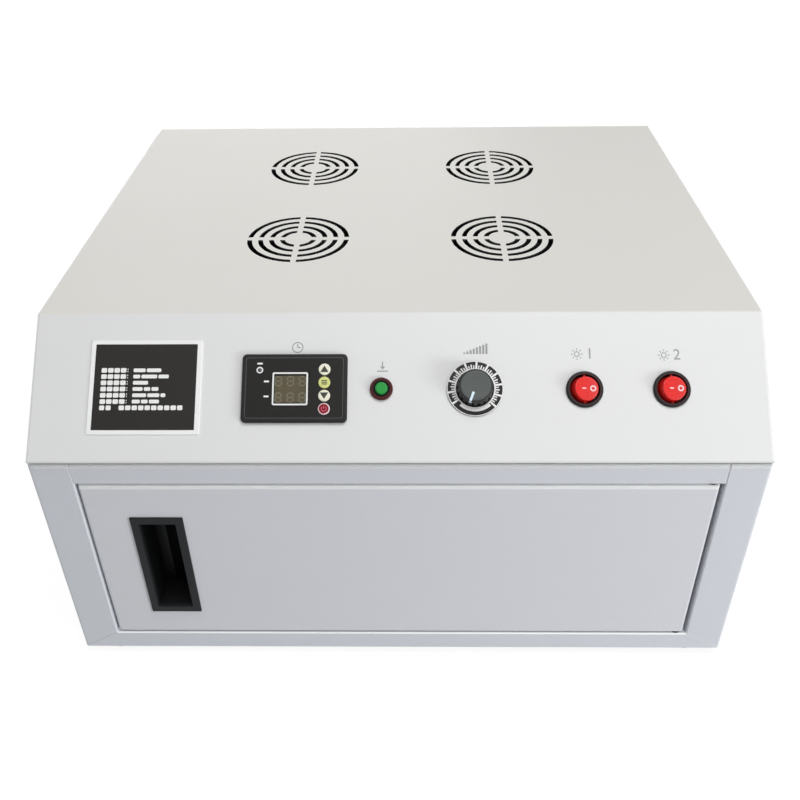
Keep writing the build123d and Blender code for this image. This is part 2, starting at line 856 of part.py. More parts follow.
pull_mouth = (pull_width - 2 * pull_rim, pull_height - 2 * pull_rim)
with BuildPart() as door_pull:
    with BuildSketch(facing_front(door_front)):
        with Locations((pull_x, pull_z)):
            Rectangle(pull_width, pull_height)
    extrude(amount=pull_flange)
    fillet(door_pull.faces().sort_by(Axis.Y)[0].edges(), pull_edge)
    with BuildSketch(facing_front(door_front)):
        with Locations((pull_x, pull_z)):
            Rectangle(pull_mouth[0] + 2 * pull_wall, pull_mouth[1] + 2 * pull_wall)
    extrude(amount=-pull_depth - pull_wall + pull_flange)
    # Pocket: straight right wall and top, a left wall that curves in and steps back, a sloped floor
    left = pull_x - pull_mouth[0] / 2
    right = pull_x + pull_mouth[0] / 2
    mouth_y = door_front - pull_flange
    with BuildSketch(Plane.XY.offset(pull_z - pull_mouth[1] / 2)):
        with BuildLine():
            Polyline(
                (left + pull_lip, mouth_y + pull_lip_depth),
                (left + pull_lip / 2, mouth_y + pull_depth),
                (right, mouth_y + pull_depth),
                (right, mouth_y),
                (left, mouth_y),
            )
            SagittaArc(
                (left, mouth_y), (left + pull_lip, mouth_y + pull_lip_depth), -pull_lip
            )
        make_face()
    extrude(amount=pull_mouth[1], mode=Mode.SUBTRACT)
    with BuildSketch(Plane.YZ.offset(left - pull_lip)):
        with BuildLine():
            Polyline(
                (mouth_y, pull_z - pull_mouth[1] / 2),
                (mouth_y + pull_depth + pull_wall / 2, pull_z - pull_mouth[1] / 2),
                (mouth_y + pull_depth + pull_wall / 2, pull_z - pull_mouth[1] / 2 + pull_draft),
                close=True,
            )
        make_face()
    extrude(amount=pull_mouth[0] + 1.5 * pull_lip)
save(door_pull, "door_pull")

# Hinge: pins hang in the header and stand in the sill, bushes turn on them in the door
with BuildPart() as hinge_pins:
    for level, along in ((opening_top + case_sheet, -1), (opening_bottom - case_sheet, 1)):
        with BuildSketch(Plane.XY.offset(level)):
            with Locations((pin_x, pin_y)):
                Circle(pin_head_radius)
        extrude(amount=-along * pin_head_height)
        with BuildSketch(Plane.XY.offset(level)):
            with Locations((pin_x, pin_y)):
                Circle(pin_radius)
        extrude(amount=along * (case_sheet + pin_reach))
save(hinge_pins, "hinge_pins")

with BuildPart() as hinge_bushes:
    for level, along in ((door_top, -1), (door_bottom, 1)):
        with BuildSketch(Plane.XY.offset(level)):
            with Locations((pin_x, pin_y)):
                Circle(bush_flange_radius)
        extrude(amount=-along * bush_flange_height)
        with BuildSketch(Plane.XY.offset(level)):
            with Locations((pin_x, pin_y)):
                Circle(bush_radius)
        extrude(amount=along * bush_length)
    with BuildSketch(Plane.XY.offset(door_bottom - bush_flange_height)):
        with Locations((pin_x, pin_y)):
            Circle(pin_radius + running_gap)
    extrude(amount=door_height + 2 * bush_flange_height, mode=Mode.SUBTRACT)
save(hinge_bushes, "hinge_bushes")

# Lamp heads: quartz window on the lamp plate, frame around it, board and array under the sink
with BuildPart() as quartz_windows:
    with BuildSketch(Plane.XY.offset(z_frame)):
        with Locations(*lamp_centres):
            Rectangle(window_size, window_size)
    extrude(amount=window_thickness)
save(quartz_windows, "quartz_windows")

z_board = z_sink - led_board_thickness
z_array = z_board - led_array_thickness
with BuildPart() as lamp_frames:
    with BuildSketch(Plane.XY.offset(z_frame)):
        with Locations(*lamp_centres):
            Rectangle(lamp_frame_size, lamp_frame_size)
            Rectangle(lamp_frame_throat, lamp_frame_throat, mode=Mode.SUBTRACT)
    extrude(amount=lamp_frame_height)
    with BuildSketch(Plane.XY.offset(z_frame)):
        with Locations(*lamp_centres):
            Rectangle(window_size + 2 * window_gap, window_size + 2 * window_gap)
    extrude(amount=window_thickness + window_gap, mode=Mode.SUBTRACT)
    # Slot for the lead to the board, on the side that faces the driver
    with BuildSketch(Plane.XY.offset(z_board)):
        for x, y in lamp_centres:
            outward = 1 if x > 0 else -1
            with Locations((x + outward * lamp_frame_size / 2, y)):
                Rectangle(lamp_frame_size - lamp_frame_throat, 2 * wire_radius + 2 * fit_gap)
    extrude(amount=led_board_thickness + wire_radius, mode=Mode.SUBTRACT)
    with BuildSketch(Plane.XY.offset(z_board - wire_radius)):
        for x, y in lamp_centres:
            outward = 1 if x > 0 else -1
            with Locations((x + outward * lamp_frame_size / 2, y)):
                Rectangle(lamp_frame_size - lamp_frame_throat, 2 * wire_radius + 2 * fit_gap)
    extrude(amount=wire_radius, mode=Mode.SUBTRACT)
save(lamp_frames, "lamp_frames")

with BuildPart() as led_boards:
    with BuildSketch(Plane.XY.offset(z_board)):
        with Locations(*lamp_centres):
            RectangleRounded(led_board_size, led_board_size, m3_radius)
    extrude(amount=led_board_thickness)
save(led_boards, "led_boards")

with BuildPart() as led_arrays:
    with BuildSketch(Plane.XY.offset(z_array)):
        with Locations(*lamp_centres):
            RectangleRounded(led_array_size, led_array_size, m3_radius)
    extrude(amount=led_array_thickness)
    with BuildSketch(Plane.XY.offset(z_array)):
        with Locations(*lamp_centres):
            Rectangle(led_array_size - 2 * led_array_rim, led_array_size - 2 * led_array_rim)
    extrude(amount=led_array_recess, mode=Mode.SUBTRACT)
save(led_arrays, "led_arrays")


def heat_sink_at(centre):
    """Finned sink with its fins along Y."""
    with BuildPart() as sink:
        with BuildSketch(Plane.XY.offset(z_sink)):
            with Locations(centre):
                Rectangle(sink_size, sink_size)
        extrude(amount=sink_base)
        with BuildSketch(Plane.XY.offset(z_sink + sink_base)):
            with Locations(centre):
                with GridLocations(fin_pitch, 0, fin_count, 1):
                    Rectangle(fin_thickness, sink_size)
        extrude(amount=fin_height)
    return sink


def fan_frame_at(centre):
    """Square fan housing: bored duct, corner holes, and a mount on struts with the bearing."""
    with BuildPart() as frame:
        with BuildSketch(Plane.XY.offset(z_fan)):
            with Locations(centre):
                RectangleRounded(fan_size, fan_size, fan_corner)
                Circle(fan_bore_radius, mode=Mode.SUBTRACT)
                with GridLocations(fan_hole_pitch, fan_hole_pitch, 2, 2):
                    Circle(fan_hole_radius, mode=Mode.SUBTRACT)
        extrude(amount=fan_height)
        with BuildSketch(Plane.XY.offset(z_fan + fan_height)):
            with Locations(centre):
                with GridLocations(fan_hole_pitch, fan_hole_pitch, 2, 2):
                    Circle(fan_screw_head_radius + screw_gap)
        extrude(amount=-fan_screw_head_height, mode=Mode.SUBTRACT)
        with BuildSketch(Plane.XY.offset(z_fan)):
            with Locations(centre):
                Circle(fan_mount_radius)
                with PolarLocations((fan_bore_radius + fan_mount_radius) / 2, fan_strut_count, 45):
                    Rectangle(fan_bore_radius - fan_mount_radius + fan_strut, fan_strut)
        extrude(amount=fan_mount_height)
        with BuildSketch(Plane.XY.offset(z_fan)):
            with Locations(centre):
                Circle(fan_bearing_radius)
        extrude(amount=fan_mount_height + fan_bearing_height)
        with BuildSketch(Plane.XY.offset(z_fan)):
            with Locations(centre):
                Circle(fan_shaft_radius + running_gap)
        extrude(amount=fan_height, mode=Mode.SUBTRACT)
    return frame


def fan_rotor_at(centre):
    """Fan wheel: cup-shaped hub with a shaft, and twisted blades cut to the running circle."""
    blade_root = fan_hub_radius - fan_hub_wall / 2
    blade_tip = fan_bore_radius - blade_tip_gap
    middle = Vector(centre[0], centre[1], z_hub + hub_height / 2)
    with BuildPart() as rotor:
        for number in range(blade_count):
            turn = radians(360 * number / blade_count)
            outward = Vector(cos(turn), sin(turn), 0)
            across = Vector(-sin(turn), cos(turn), 0)
            for reach, pitch in ((blade_root, blade_root_pitch), (fan_bore_radius, blade_tip_pitch)):
                with BuildSketch(Plane(middle + outward * reach, x_dir=across, z_dir=outward)):
                    Rectangle(blade_chord, blade_thickness, rotation=pitch)
            loft()
        with Locations(middle):
            Cylinder(blade_tip, hub_height, mode=Mode.INTERSECT)
            Cylinder(fan_hub_radius, hub_height)
        with BuildSketch(Plane.XY.offset(z_hub)):
            with Locations(centre):
                Circle(fan_hub_radius - fan_hub_wall)
        extrude(amount=hub_height - fan_hub_wall, mode=Mode.SUBTRACT)
        with BuildSketch(Plane.XY.offset(z_fan + fan_mount_height / 2)):
            with Locations(centre):
                Circle(fan_shaft_radius)
        extrude(amount=z_hub + hub_height - z_fan - fan_mount_height / 2 - fan_hub_wall / 2)
    return rotor


for number, centre in enumerate(lamp_centres, start=1):
    save(heat_sink_at(centre), f"heat_sink_{number}")
    save(fan_frame_at(centre), f"fan_frame_{number}")
    save(fan_rotor_at(centre), f"fan_rotor_{number}")

fan_screw_places = [
    (x + a * fan_hole_pitch / 2, y + b * fan_hole_pitch / 2)
    for x, y in lamp_centres
    for a in (-1, 1)
    for b in (-1, 1)
]
with BuildPart() as fan_screws:
    with BuildSketch(Plane.XY.offset(z_fan + fan_height - fan_screw_head_height)):
        with Locations(*fan_screw_places):
            Circle(fan_screw_head_radius)
    extrude(amount=fan_screw_head_height)
    with BuildSketch(Plane.XY.offset(z_fan + fan_height)):
        with Locations(*fan_screw_places):
            Circle(fan_screw_radius)
    extrude(amount=-fan_height - fan_screw_bite)
save(fan_screws, "fan_screws")

# LED drivers, two along each side of the hood, on ears over the lamp plate
driver_x = ((lamp_pitch_x + sink_size) / 2 + overall_width / 2 - hood_sheet) / 2
drivers_front = y_front + driver_from_front
drivers_back = rear_outer - rear_sheet - driver_rear_gap
driver_space = (drivers_back - drivers_front - driver_middle_gap) / 2
driver_length = driver_space - 2 * driver_ear
driver_y = (drivers_front + drivers_back) / 2
driver_pitch_y = driver_space + driver_middle_gap
driver_places = [
    (side * driver_x, driver_y + row * driver_pitch_y / 2) for row in (-1, 1) for side in (-1, 1)
]
with BuildPart() as led_drivers:
    with BuildSketch(Plane.XY.offset(z_lip)):
        with Locations(*driver_places):
            Rectangle(driver_width, driver_length)
    extrude(amount=driver_height)
    fillet(led_drivers.edges().filter_by(Axis.Y).group_by(Axis.Z)[-1], driver_bend)
    with BuildSketch(Plane.XY.offset(z_lip)):
        with Locations(*driver_places):
            Rectangle(driver_width, driver_length + 2 * driver_ear)
            with GridLocations(0, driver_length + driver_ear, 1, 2):
                Circle(m4_radius, mode=Mode.SUBTRACT)
            Rectangle(driver_width / 2, driver_length)
    extrude(amount=driver_ear_height)
save(led_drivers, "led_drivers")

# Control board on standoffs, with its relay and transformer
board_y = (y_front + lamp_front_y - sink_size / 2) / 2 + board_set_back
z_control = z_lip + board_standoff
with BuildPart() as control_board:
    with BuildSketch(Plane.XY.offset(z_control)):
        with Locations((board_x, board_y)):
            Rectangle(board_width, board_depth)
    extrude(amount=board_thickness)
    with BuildSketch(Plane.XY.offset(z_lip)):
        with Locations((board_x, board_y)):
            with GridLocations(
                board_width - 2 * board_hole_inset, board_depth - 2 * board_hole_inset, 2, 2
            ):
                Circle(board_standoff_radius)
    extrude(amount=board_standoff)
    for size, offset in (
        (transformer_size, transformer_offset),
        (relay_size, relay_offsets[0]),
        (relay_size, relay_offsets[1]),
    ):
        with BuildSketch(Plane.XY.offset(z_control + board_thickness)):
            with Locations((board_x + offset, board_y)):
                Rectangle(size[0], size[1])
        extrude(amount=size[2])
save(control_board, "control_board")

# Terminal block with a screw well over each way
with BuildPart() as terminal_block:
    with BuildSketch(Plane.XY.offset(z_lip)):
        with Locations((terminal_x, board_y)):
            Rectangle(terminal_width, terminal_depth)
    extrude(amount=terminal_height)
    with BuildSketch(Plane.XY.offset(z_lip + terminal_height)):
        with Locations((terminal_x, board_y)):
            with GridLocations(terminal_width / terminal_ways, 0, terminal_ways, 1):
                Circle(terminal_well_radius)
    extrude(amount=-terminal_well_depth, mode=Mode.SUBTRACT)
save(terminal_block, "terminal_block")


# Wiring laid on the lamp plate and up to what it feeds
def add_wire(points, radius, bend):
    """One insulated lead along straight runs with rounded corners."""
    with BuildLine() as route:
        FilletPolyline(*points, radius=bend)
    with BuildSketch(Plane(origin=route.line @ 0, z_dir=route.line % 0)) as section:
        Circle(radius)
    sweep(section.sketch, path=route.line)


z_mains = z_lip + mains_radius + fit_gap
z_wire = z_board
mains_lane_y = lamp_front_y - lamp_frame_size / 2 - mains_gap - mains_radius
with BuildPart() as wiring:
    inlet_back = rear_outer - inlet_depth
    add_wire(
        [
            (inlet_x, inlet_back, inlet_z),
            (inlet_x, inlet_back - mains_drop, inlet_z),
            (inlet_x, inlet_back - mains_drop, z_mains),
            (0, inlet_back - 2 * mains_drop, z_mains),
            (0, mains_lane_y, z_mains),
            (terminal_x, mains_lane_y, z_mains),
            (terminal_x, board_y + terminal_depth / 2, z_mains),
        ],
        mains_radius,
        mains_bend,
    )
    driver_inner = driver_x - driver_width / 2
    lane_x = (driver_inner + lamp_pitch_x / 2 + sink_size / 2) / 2
    for x, y in lamp_centres:
        side = 1 if x > 0 else -1
        add_wire(
            [
                (side * driver_inner, y, z_lip + driver_height / 2),
                (side * lane_x, y, z_lip + driver_height / 2),
                (side * lane_x, y, z_wire),
                (x + side * led_board_size / 2 + side * fit_gap, y, z_wire),
            ],
            wire_radius,
            wire_bend,
        )
save(wiring, "wiring")

# Label plate on the sloped panel
with BuildPart() as label_plate:
    with BuildSketch(on_slope(label_place)):
        RectangleRounded(*label_size, label_corner)
    extrude(amount=label_thickness)
save(label_plate, "label_plate")

# Timer: bezel over the panel, tub behind it, with a lens, four keys and the board
timer_x, timer_s = timer_place
window_place = (timer_x + timer_window_offset[0], timer_s + timer_window_offset[1])
key_places = [
    (timer_x + key_offset_x, timer_s + key_offset_s + ((key_count - 1) / 2 - row) * key_pitch)
    for row in range(key_count)
]
timer_hollow = (timer_body[0] - 2 * timer_wall, timer_body[1] - 2 * timer_wall)
with BuildPart() as timer_case:
    with BuildSketch(on_slope(timer_place)):
        RectangleRounded(*timer_bezel, timer_bezel_corner)
    extrude(amount=timer_bezel_height)
    fillet(
        timer_case.faces().sort_by(lambda f: f.center().dot(slope_out))[-1].edges(),
        timer_bezel_edge,
    )
    with BuildSketch(on_slope(timer_place)):
        Rectangle(*timer_body)
    extrude(amount=-timer_depth)
    with BuildSketch(on_slope(timer_place)):
        Rectangle(*timer_hollow)
    extrude(amount=timer_wall - timer_depth, mode=Mode.SUBTRACT)
    with BuildSketch(on_slope(window_place, timer_bezel_height)):
        Rectangle(timer_window_size[0] + 2 * key_gap, timer_window_size[1] + 2 * key_gap)
    extrude(amount=-timer_window_sheet, mode=Mode.SUBTRACT)
    with BuildSketch(on_slope(window_place, timer_bezel_height)):
        Rectangle(
            timer_window_size[0] - 2 * timer_window_rim, timer_window_size[1] - 2 * timer_window_rim
        )
    extrude(amount=-timer_bezel_height, mode=Mode.SUBTRACT)
    for place in key_places:
        with BuildSketch(on_slope(place, timer_bezel_height)):
            Circle(key_radius + key_gap)
        extrude(amount=-timer_bezel_height, mode=Mode.SUBTRACT)
save(timer_case, "timer_case")

with BuildPart() as timer_window:
    with BuildSketch(on_slope(window_place, timer_bezel_height - timer_window_sheet)):
        Rectangle(*timer_window_size)
    extrude(amount=timer_window_sheet)
save(timer_window, "timer_window")

tact_top = tact_height - timer_board_depth + timer_board_sheet
with BuildPart() as timer_board:
    with BuildSketch(on_slope(timer_place, -timer_board_depth)):
        Rectangle(timer_hollow[0] - 2 * fit_gap, timer_hollow[1] - 2 * fit_gap)
    extrude(amount=timer_board_sheet)
    with BuildSketch(on_slope(window_place, timer_board_sheet - timer_board_depth)):
        Rectangle(
            timer_window_size[0] - 2 * timer_window_rim - 2 * fit_gap,
            timer_window_size[1] - 2 * timer_window_rim - 2 * fit_gap,
        )
    extrude(
        amount=timer_board_depth
        - timer_board_sheet
        + timer_bezel_height
        - timer_window_sheet
        - timer_display_gap
    )
    for place in key_places:
        with BuildSketch(on_slope(place, timer_board_sheet - timer_board_depth)):
            Rectangle(tact_size, tact_size)
        extrude(amount=tact_height)
save(timer_board, "timer_board")


def key_at(place):
    """Round key: cap through the bezel, flange behind it, stem over its switch."""
    with BuildPart() as key:
        with BuildSketch(on_slope(place, -key_gap)):
            Circle(key_radius)
        extrude(amount=timer_bezel_height + key_gap + key_rise)
        top = key.faces().sort_by(lambda f: f.center().dot(slope_out))[-1]
        fillet(top.edges(), key_edge)
        with BuildSketch(on_slope(place, -key_gap)):
            Circle(key_radius + key_flange)
        extrude(amount=-key_flange_height)
        with BuildSketch(on_slope(place, -key_gap)):
            Circle(key_stem_radius)
        extrude(amount=tact_top + key_travel + 2 * key_gap)
    return key


for place, key_name in zip(key_places, ("key_up", "key_set", "key_down", "key_power")):
    save(key_at(place), key_name)

# Trigger button: bezel and barrel through the panel, moving cap
with BuildPart() as trigger_bezel:
    with BuildSketch(on_slope(trigger_place)):
        Circle(trigger_bezel_radius)
    extrude(amount=trigger_bezel_height)
    outer_edges = trigger_bezel.faces().sort_by(lambda f: f.center().dot(slope_out))[-1].edges()
    fillet(outer_edges, trigger_bezel_edge)
    with BuildSketch(on_slope(trigger_place)):
        Circle(trigger_barrel_radius)
    extrude(amount=-trigger_barrel_length)
    with BuildSketch(on_slope(trigger_place, trigger_bezel_height)):
        Circle(trigger_cap_radius + trigger_gap)
    extrude(amount=-trigger_bezel_height - trigger_well, mode=Mode.SUBTRACT)
save(trigger_bezel, "trigger_bezel")

with BuildPart() as trigger_cap:
    with BuildSketch(on_slope(trigger_place, trigger_travel + trigger_gap - trigger_well)):
        Circle(trigger_cap_radius)
    extrude(
        amount=trigger_well
        + trigger_bezel_height
        + trigger_cap_rise
        - trigger_travel
        - trigger_gap
    )
    top = trigger_cap.faces().sort_by(lambda f: f.center().dot(slope_out))[-1]
    fillet(top.edges(), trigger_cap_edge)
save(trigger_cap, "trigger_cap")

# Dimmer: dial plate, potentiometer behind the panel, nuts, shaft and knob
with BuildPart() as dial_plate:
    with BuildSketch(on_slope(dial_place)):
        Circle(dial_radius)
        Circle(pot_bush_radius + fit_gap, mode=Mode.SUBTRACT)
    extrude(amount=dial_sheet)
save(dial_plate, "dial_plate")

with BuildPart() as potentiometer:
    with BuildSketch(on_slope(dial_place, -hood_sheet)):
        Circle(pot_radius)
    extrude(amount=-pot_depth)
    with BuildSketch(on_slope(dial_place, -hood_sheet)):
        Circle(pot_bush_radius)
    extrude(amount=hood_sheet + pot_bush_rise)
    with BuildSketch(on_slope(dial_place, pot_bush_rise)):
        Circle(pot_shaft_radius + running_gap)
    extrude(amount=-pot_bush_rise - hood_sheet - pot_shaft_reach, mode=Mode.SUBTRACT)
    with BuildSketch(on_slope((dial_place[0], dial_place[1] + pot_radius), -hood_sheet)):
        with GridLocations(pot_tag_pitch, 0, 3, 1):
            Rectangle(*pot_tag)
    extrude(amount=-pot_tag_depth)
save(potentiometer, "potentiometer")

with BuildPart() as panel_nuts:
    with BuildSketch(on_slope(dial_place, dial_sheet)):
        RegularPolygon(hex_radius(pot_nut_flats), 6)
        Circle(pot_bush_radius + running_gap, mode=Mode.SUBTRACT)
    extrude(amount=pot_nut_height)
    with BuildSketch(on_slope(trigger_place, -hood_sheet)):
        RegularPolygon(hex_radius(trigger_nut_flats), 6)
        Circle(trigger_barrel_radius + running_gap, mode=Mode.SUBTRACT)
    extrude(amount=-trigger_nut_height)
save(panel_nuts, "panel_nuts")

knob_base = dial_sheet + knob_lift
with BuildPart() as pot_shaft:
    with BuildSketch(on_slope(dial_place, running_gap - hood_sheet - pot_shaft_reach)):
        Circle(pot_shaft_radius)
    extrude(amount=hood_sheet + pot_shaft_reach + knob_base + knob_height - knob_skin - 2 * running_gap)
save(pot_shaft, "pot_shaft")

with BuildPart() as dimmer_knob:
    with BuildSketch(on_slope(dial_place, knob_base)):
        Circle(knob_radius)
    extrude(amount=knob_height, taper=degrees(atan2(knob_taper, knob_height)))
    top = dimmer_knob.faces().sort_by(lambda f: f.center().dot(slope_out))[-1]
    fillet(top.edges(), knob_taper)
    with BuildSketch(on_slope(dial_place, knob_base)):
        with PolarLocations(knob_radius, knob_flute_count):
            Circle(knob_flute_radius)
    extrude(amount=knob_height, mode=Mode.SUBTRACT)
    with BuildSketch(on_slope(dial_place, knob_base)):
        Circle(knob_recess_radius)
    extrude(amount=knob_recess, mode=Mode.SUBTRACT)
    with BuildSketch(on_slope(dial_place, knob_base)):
        Circle(pot_shaft_radius + running_gap / 2)
    extrude(amount=knob_height - knob_skin, mode=Mode.SUBTRACT)
    # Pointer groove, at rest turned to the low end of the scale
    with BuildSketch(on_slope(dial_place, knob_base + knob_height)):
        with PolarLocations(knob_radius / 2, 1, -90 - pointer_turn):
            Rectangle(knob_radius, pointer_width)
    extrude(amount=-pointer_depth, mode=Mode.SUBTRACT)
save(dimmer_knob, "dimmer_knob")


# Rocker switches: housing through the panel, rocker tilted about pins along the slope
def switch_housing_at(place):
    """Round snap-in housing with a bored well, pin sockets and three tabs."""
    with BuildPart() as housing:
        with BuildSketch(on_slope(place)):
            Circle(switch_bezel_radius)
        extrude(amount=switch_bezel_height)
        rim = housing.faces().sort_by(lambda f: f.center().dot(slope_out))[-1]
        fillet(rim.edges(), switch_bezel_edge)
        with BuildSketch(on_slope(place)):
            Circle(switch_barrel_radius)
        extrude(amount=-switch_barrel_length)
        with BuildSketch(on_slope(place, switch_bezel_height)):
            Circle(switch_bore_radius)
        extrude(amount=-switch_bezel_height - switch_well, mode=Mode.SUBTRACT)
        rim = housing.faces().sort_by(lambda f: f.center().dot(slope_out))[-1]
        chamfer(rim.inner_wires()[0].edges(), switch_mouth_edge)
        centre = on_slope(place).origin
        with BuildSketch(Plane(origin=centre, x_dir=(1, 0, 0), z_dir=slope_up)):
            Circle(rocker_pin_radius + running_gap)
        extrude(amount=switch_bore_radius + rocker_pin_bite + fit_gap, both=True, mode=Mode.SUBTRACT)
        with BuildSketch(on_slope(place, -switch_barrel_length)):
            with GridLocations(switch_tab_pitch, 0, 2, 1):
                Rectangle(switch_tab[1], switch_tab[0])
        extrude(amount=-switch_tab[2])
    return housing


def rocker_at(place):
    """Round rocker with a dished face, pins at its sides and a stem, tilted to OFF."""
    centre = on_slope(place).origin
    tilted = on_slope(place).rotated((0, rocker_tilt, 0))
    over_rim = rocker_radius**2 / rocker_dish_radius
    with BuildPart() as rocker:
        with BuildSketch(tilted.offset(-rocker_skirt)):
            Circle(rocker_radius)
        extrude(amount=rocker_skirt + rocker_rise + over_rim, taper=rocker_draft)
        with BuildSketch(Plane(origin=centre, x_dir=tilted.x_dir, z_dir=-slope_up)):
            with Locations((0, rocker_rise + rocker_dish_radius)):
                Circle(rocker_dish_radius)
        extrude(amount=2 * rocker_radius, both=True, mode=Mode.SUBTRACT)
        face = rocker.faces().sort_by(lambda f: f.center().dot(slope_out))[-1]
        fillet(face.edges(), rocker_edge)
        with BuildSketch(tilted.offset(-rocker_skirt)):
            Circle(rocker_stem_radius)
        extrude(amount=-rocker_stem)
        with BuildSketch(Plane(origin=centre, x_dir=(1, 0, 0), z_dir=slope_up)):
            Circle(rocker_pin_radius)
        extrude(amount=switch_bore_radius + rocker_pin_bite, both=True)
    return rocker


for number, place in enumerate(switch_places, start=1):
    save(switch_housing_at(place), f"switch_housing_{number}")
    save(rocker_at(place), f"rocker_{number}")
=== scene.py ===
import json
from math import atan2, cos, pi, radians, sin

import bmesh
import bpy
from mathutils import Matrix, Vector


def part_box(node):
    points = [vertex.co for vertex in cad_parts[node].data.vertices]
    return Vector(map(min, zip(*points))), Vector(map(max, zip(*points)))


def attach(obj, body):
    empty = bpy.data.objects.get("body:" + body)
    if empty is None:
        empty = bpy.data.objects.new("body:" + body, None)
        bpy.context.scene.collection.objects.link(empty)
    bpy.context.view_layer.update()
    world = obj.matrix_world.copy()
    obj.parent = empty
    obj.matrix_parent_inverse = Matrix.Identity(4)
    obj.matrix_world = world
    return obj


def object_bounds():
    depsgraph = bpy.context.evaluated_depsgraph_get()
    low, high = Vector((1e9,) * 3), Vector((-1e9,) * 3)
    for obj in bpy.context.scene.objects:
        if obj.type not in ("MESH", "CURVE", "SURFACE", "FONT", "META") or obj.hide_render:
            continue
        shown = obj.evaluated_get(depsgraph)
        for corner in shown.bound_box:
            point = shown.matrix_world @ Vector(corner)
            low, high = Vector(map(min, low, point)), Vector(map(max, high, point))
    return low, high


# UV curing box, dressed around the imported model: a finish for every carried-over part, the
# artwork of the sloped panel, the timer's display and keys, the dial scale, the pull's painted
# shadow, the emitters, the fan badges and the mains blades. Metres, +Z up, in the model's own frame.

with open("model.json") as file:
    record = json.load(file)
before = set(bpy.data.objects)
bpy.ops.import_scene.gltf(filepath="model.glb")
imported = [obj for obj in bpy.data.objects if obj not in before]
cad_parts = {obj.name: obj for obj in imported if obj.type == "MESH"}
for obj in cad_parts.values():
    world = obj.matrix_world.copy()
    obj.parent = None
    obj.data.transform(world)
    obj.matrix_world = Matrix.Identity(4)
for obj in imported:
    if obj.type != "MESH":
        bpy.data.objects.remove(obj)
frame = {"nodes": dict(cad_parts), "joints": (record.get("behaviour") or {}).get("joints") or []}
cad_low, cad_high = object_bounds()
nodes = frame["nodes"]
joints = {joint["name"]: joint for joint in frame["joints"]}
MM = 0.001

# The camera, as fitted to the photograph's 800 pixels
PHOTO_PIXELS = 800
SENSOR = 36.0
FOCAL_PIXELS = 898.17
CAMERA_PLACE = (0.01145, -0.63647, 0.54161)
CAMERA_YAW = 0.0217
CAMERA_PITCH = 0.6271
CAMERA_ROLL = -0.0144


def make_camera():
    """The camera at the photograph's place and angle."""
    lens = bpy.data.cameras.new("view_camera")
    lens.sensor_width = SENSOR
    lens.lens = FOCAL_PIXELS / PHOTO_PIXELS * SENSOR
    camera = bpy.data.objects.new("view_camera", lens)
    bpy.context.scene.collection.objects.link(camera)
    turn = Matrix.Rotation(CAMERA_YAW, 4, "Z") @ Matrix.Rotation(pi / 2 - CAMERA_PITCH, 4, "X")
    turn = turn @ Matrix.Rotation(CAMERA_ROLL, 4, "Z")
    camera.matrix_world = Matrix.Translation(CAMERA_PLACE) @ turn
    bpy.context.scene.camera = camera


make_camera()


# Finishes: shader maths written as expressions
class Value:
    """One output socket of a finish; arithmetic on it adds Math nodes."""

    def __init__(self, finish, socket):
        self.finish = finish
        self.socket = socket

    def math(self, operation, first, second=0.0, clamp=False):
        settings = {"operation": operation, "use_clamp": clamp}
        return self.finish.node("Math", settings, {0: first, 1: second})

    def __add__(self, other):
        return self.math("ADD", self, other)

    __radd__ = __add__

    def __sub__(self, other):
        return self.math("SUBTRACT", self, other)

    def __rsub__(self, other):
        return self.math("SUBTRACT", other, self)

    def __mul__(self, other):
        return self.math("MULTIPLY", self, other)

    __rmul__ = __mul__

    def __pow__(self, other):
        return self.math("POWER", self, other)

    def __gt__(self, other):
        return self.math("GREATER_THAN", self, other)

    def __lt__(self, other):
        return self.math("LESS_THAN", self, other)

    def clamped(self):
        """The value kept between 0 and 1."""
        return self.math("ADD", self, 0.0, clamp=True)

    def most(self, other):
        """The larger of two values."""
        return self.math("MAXIMUM", self, other)

    def size(self):
        """The value without its sign."""
        return self.math("ABSOLUTE", self)

    def zigzag(self, top):
        """Rises from 0 to a top value and falls back, over and over."""
        return self.math("PINGPONG", self, top)


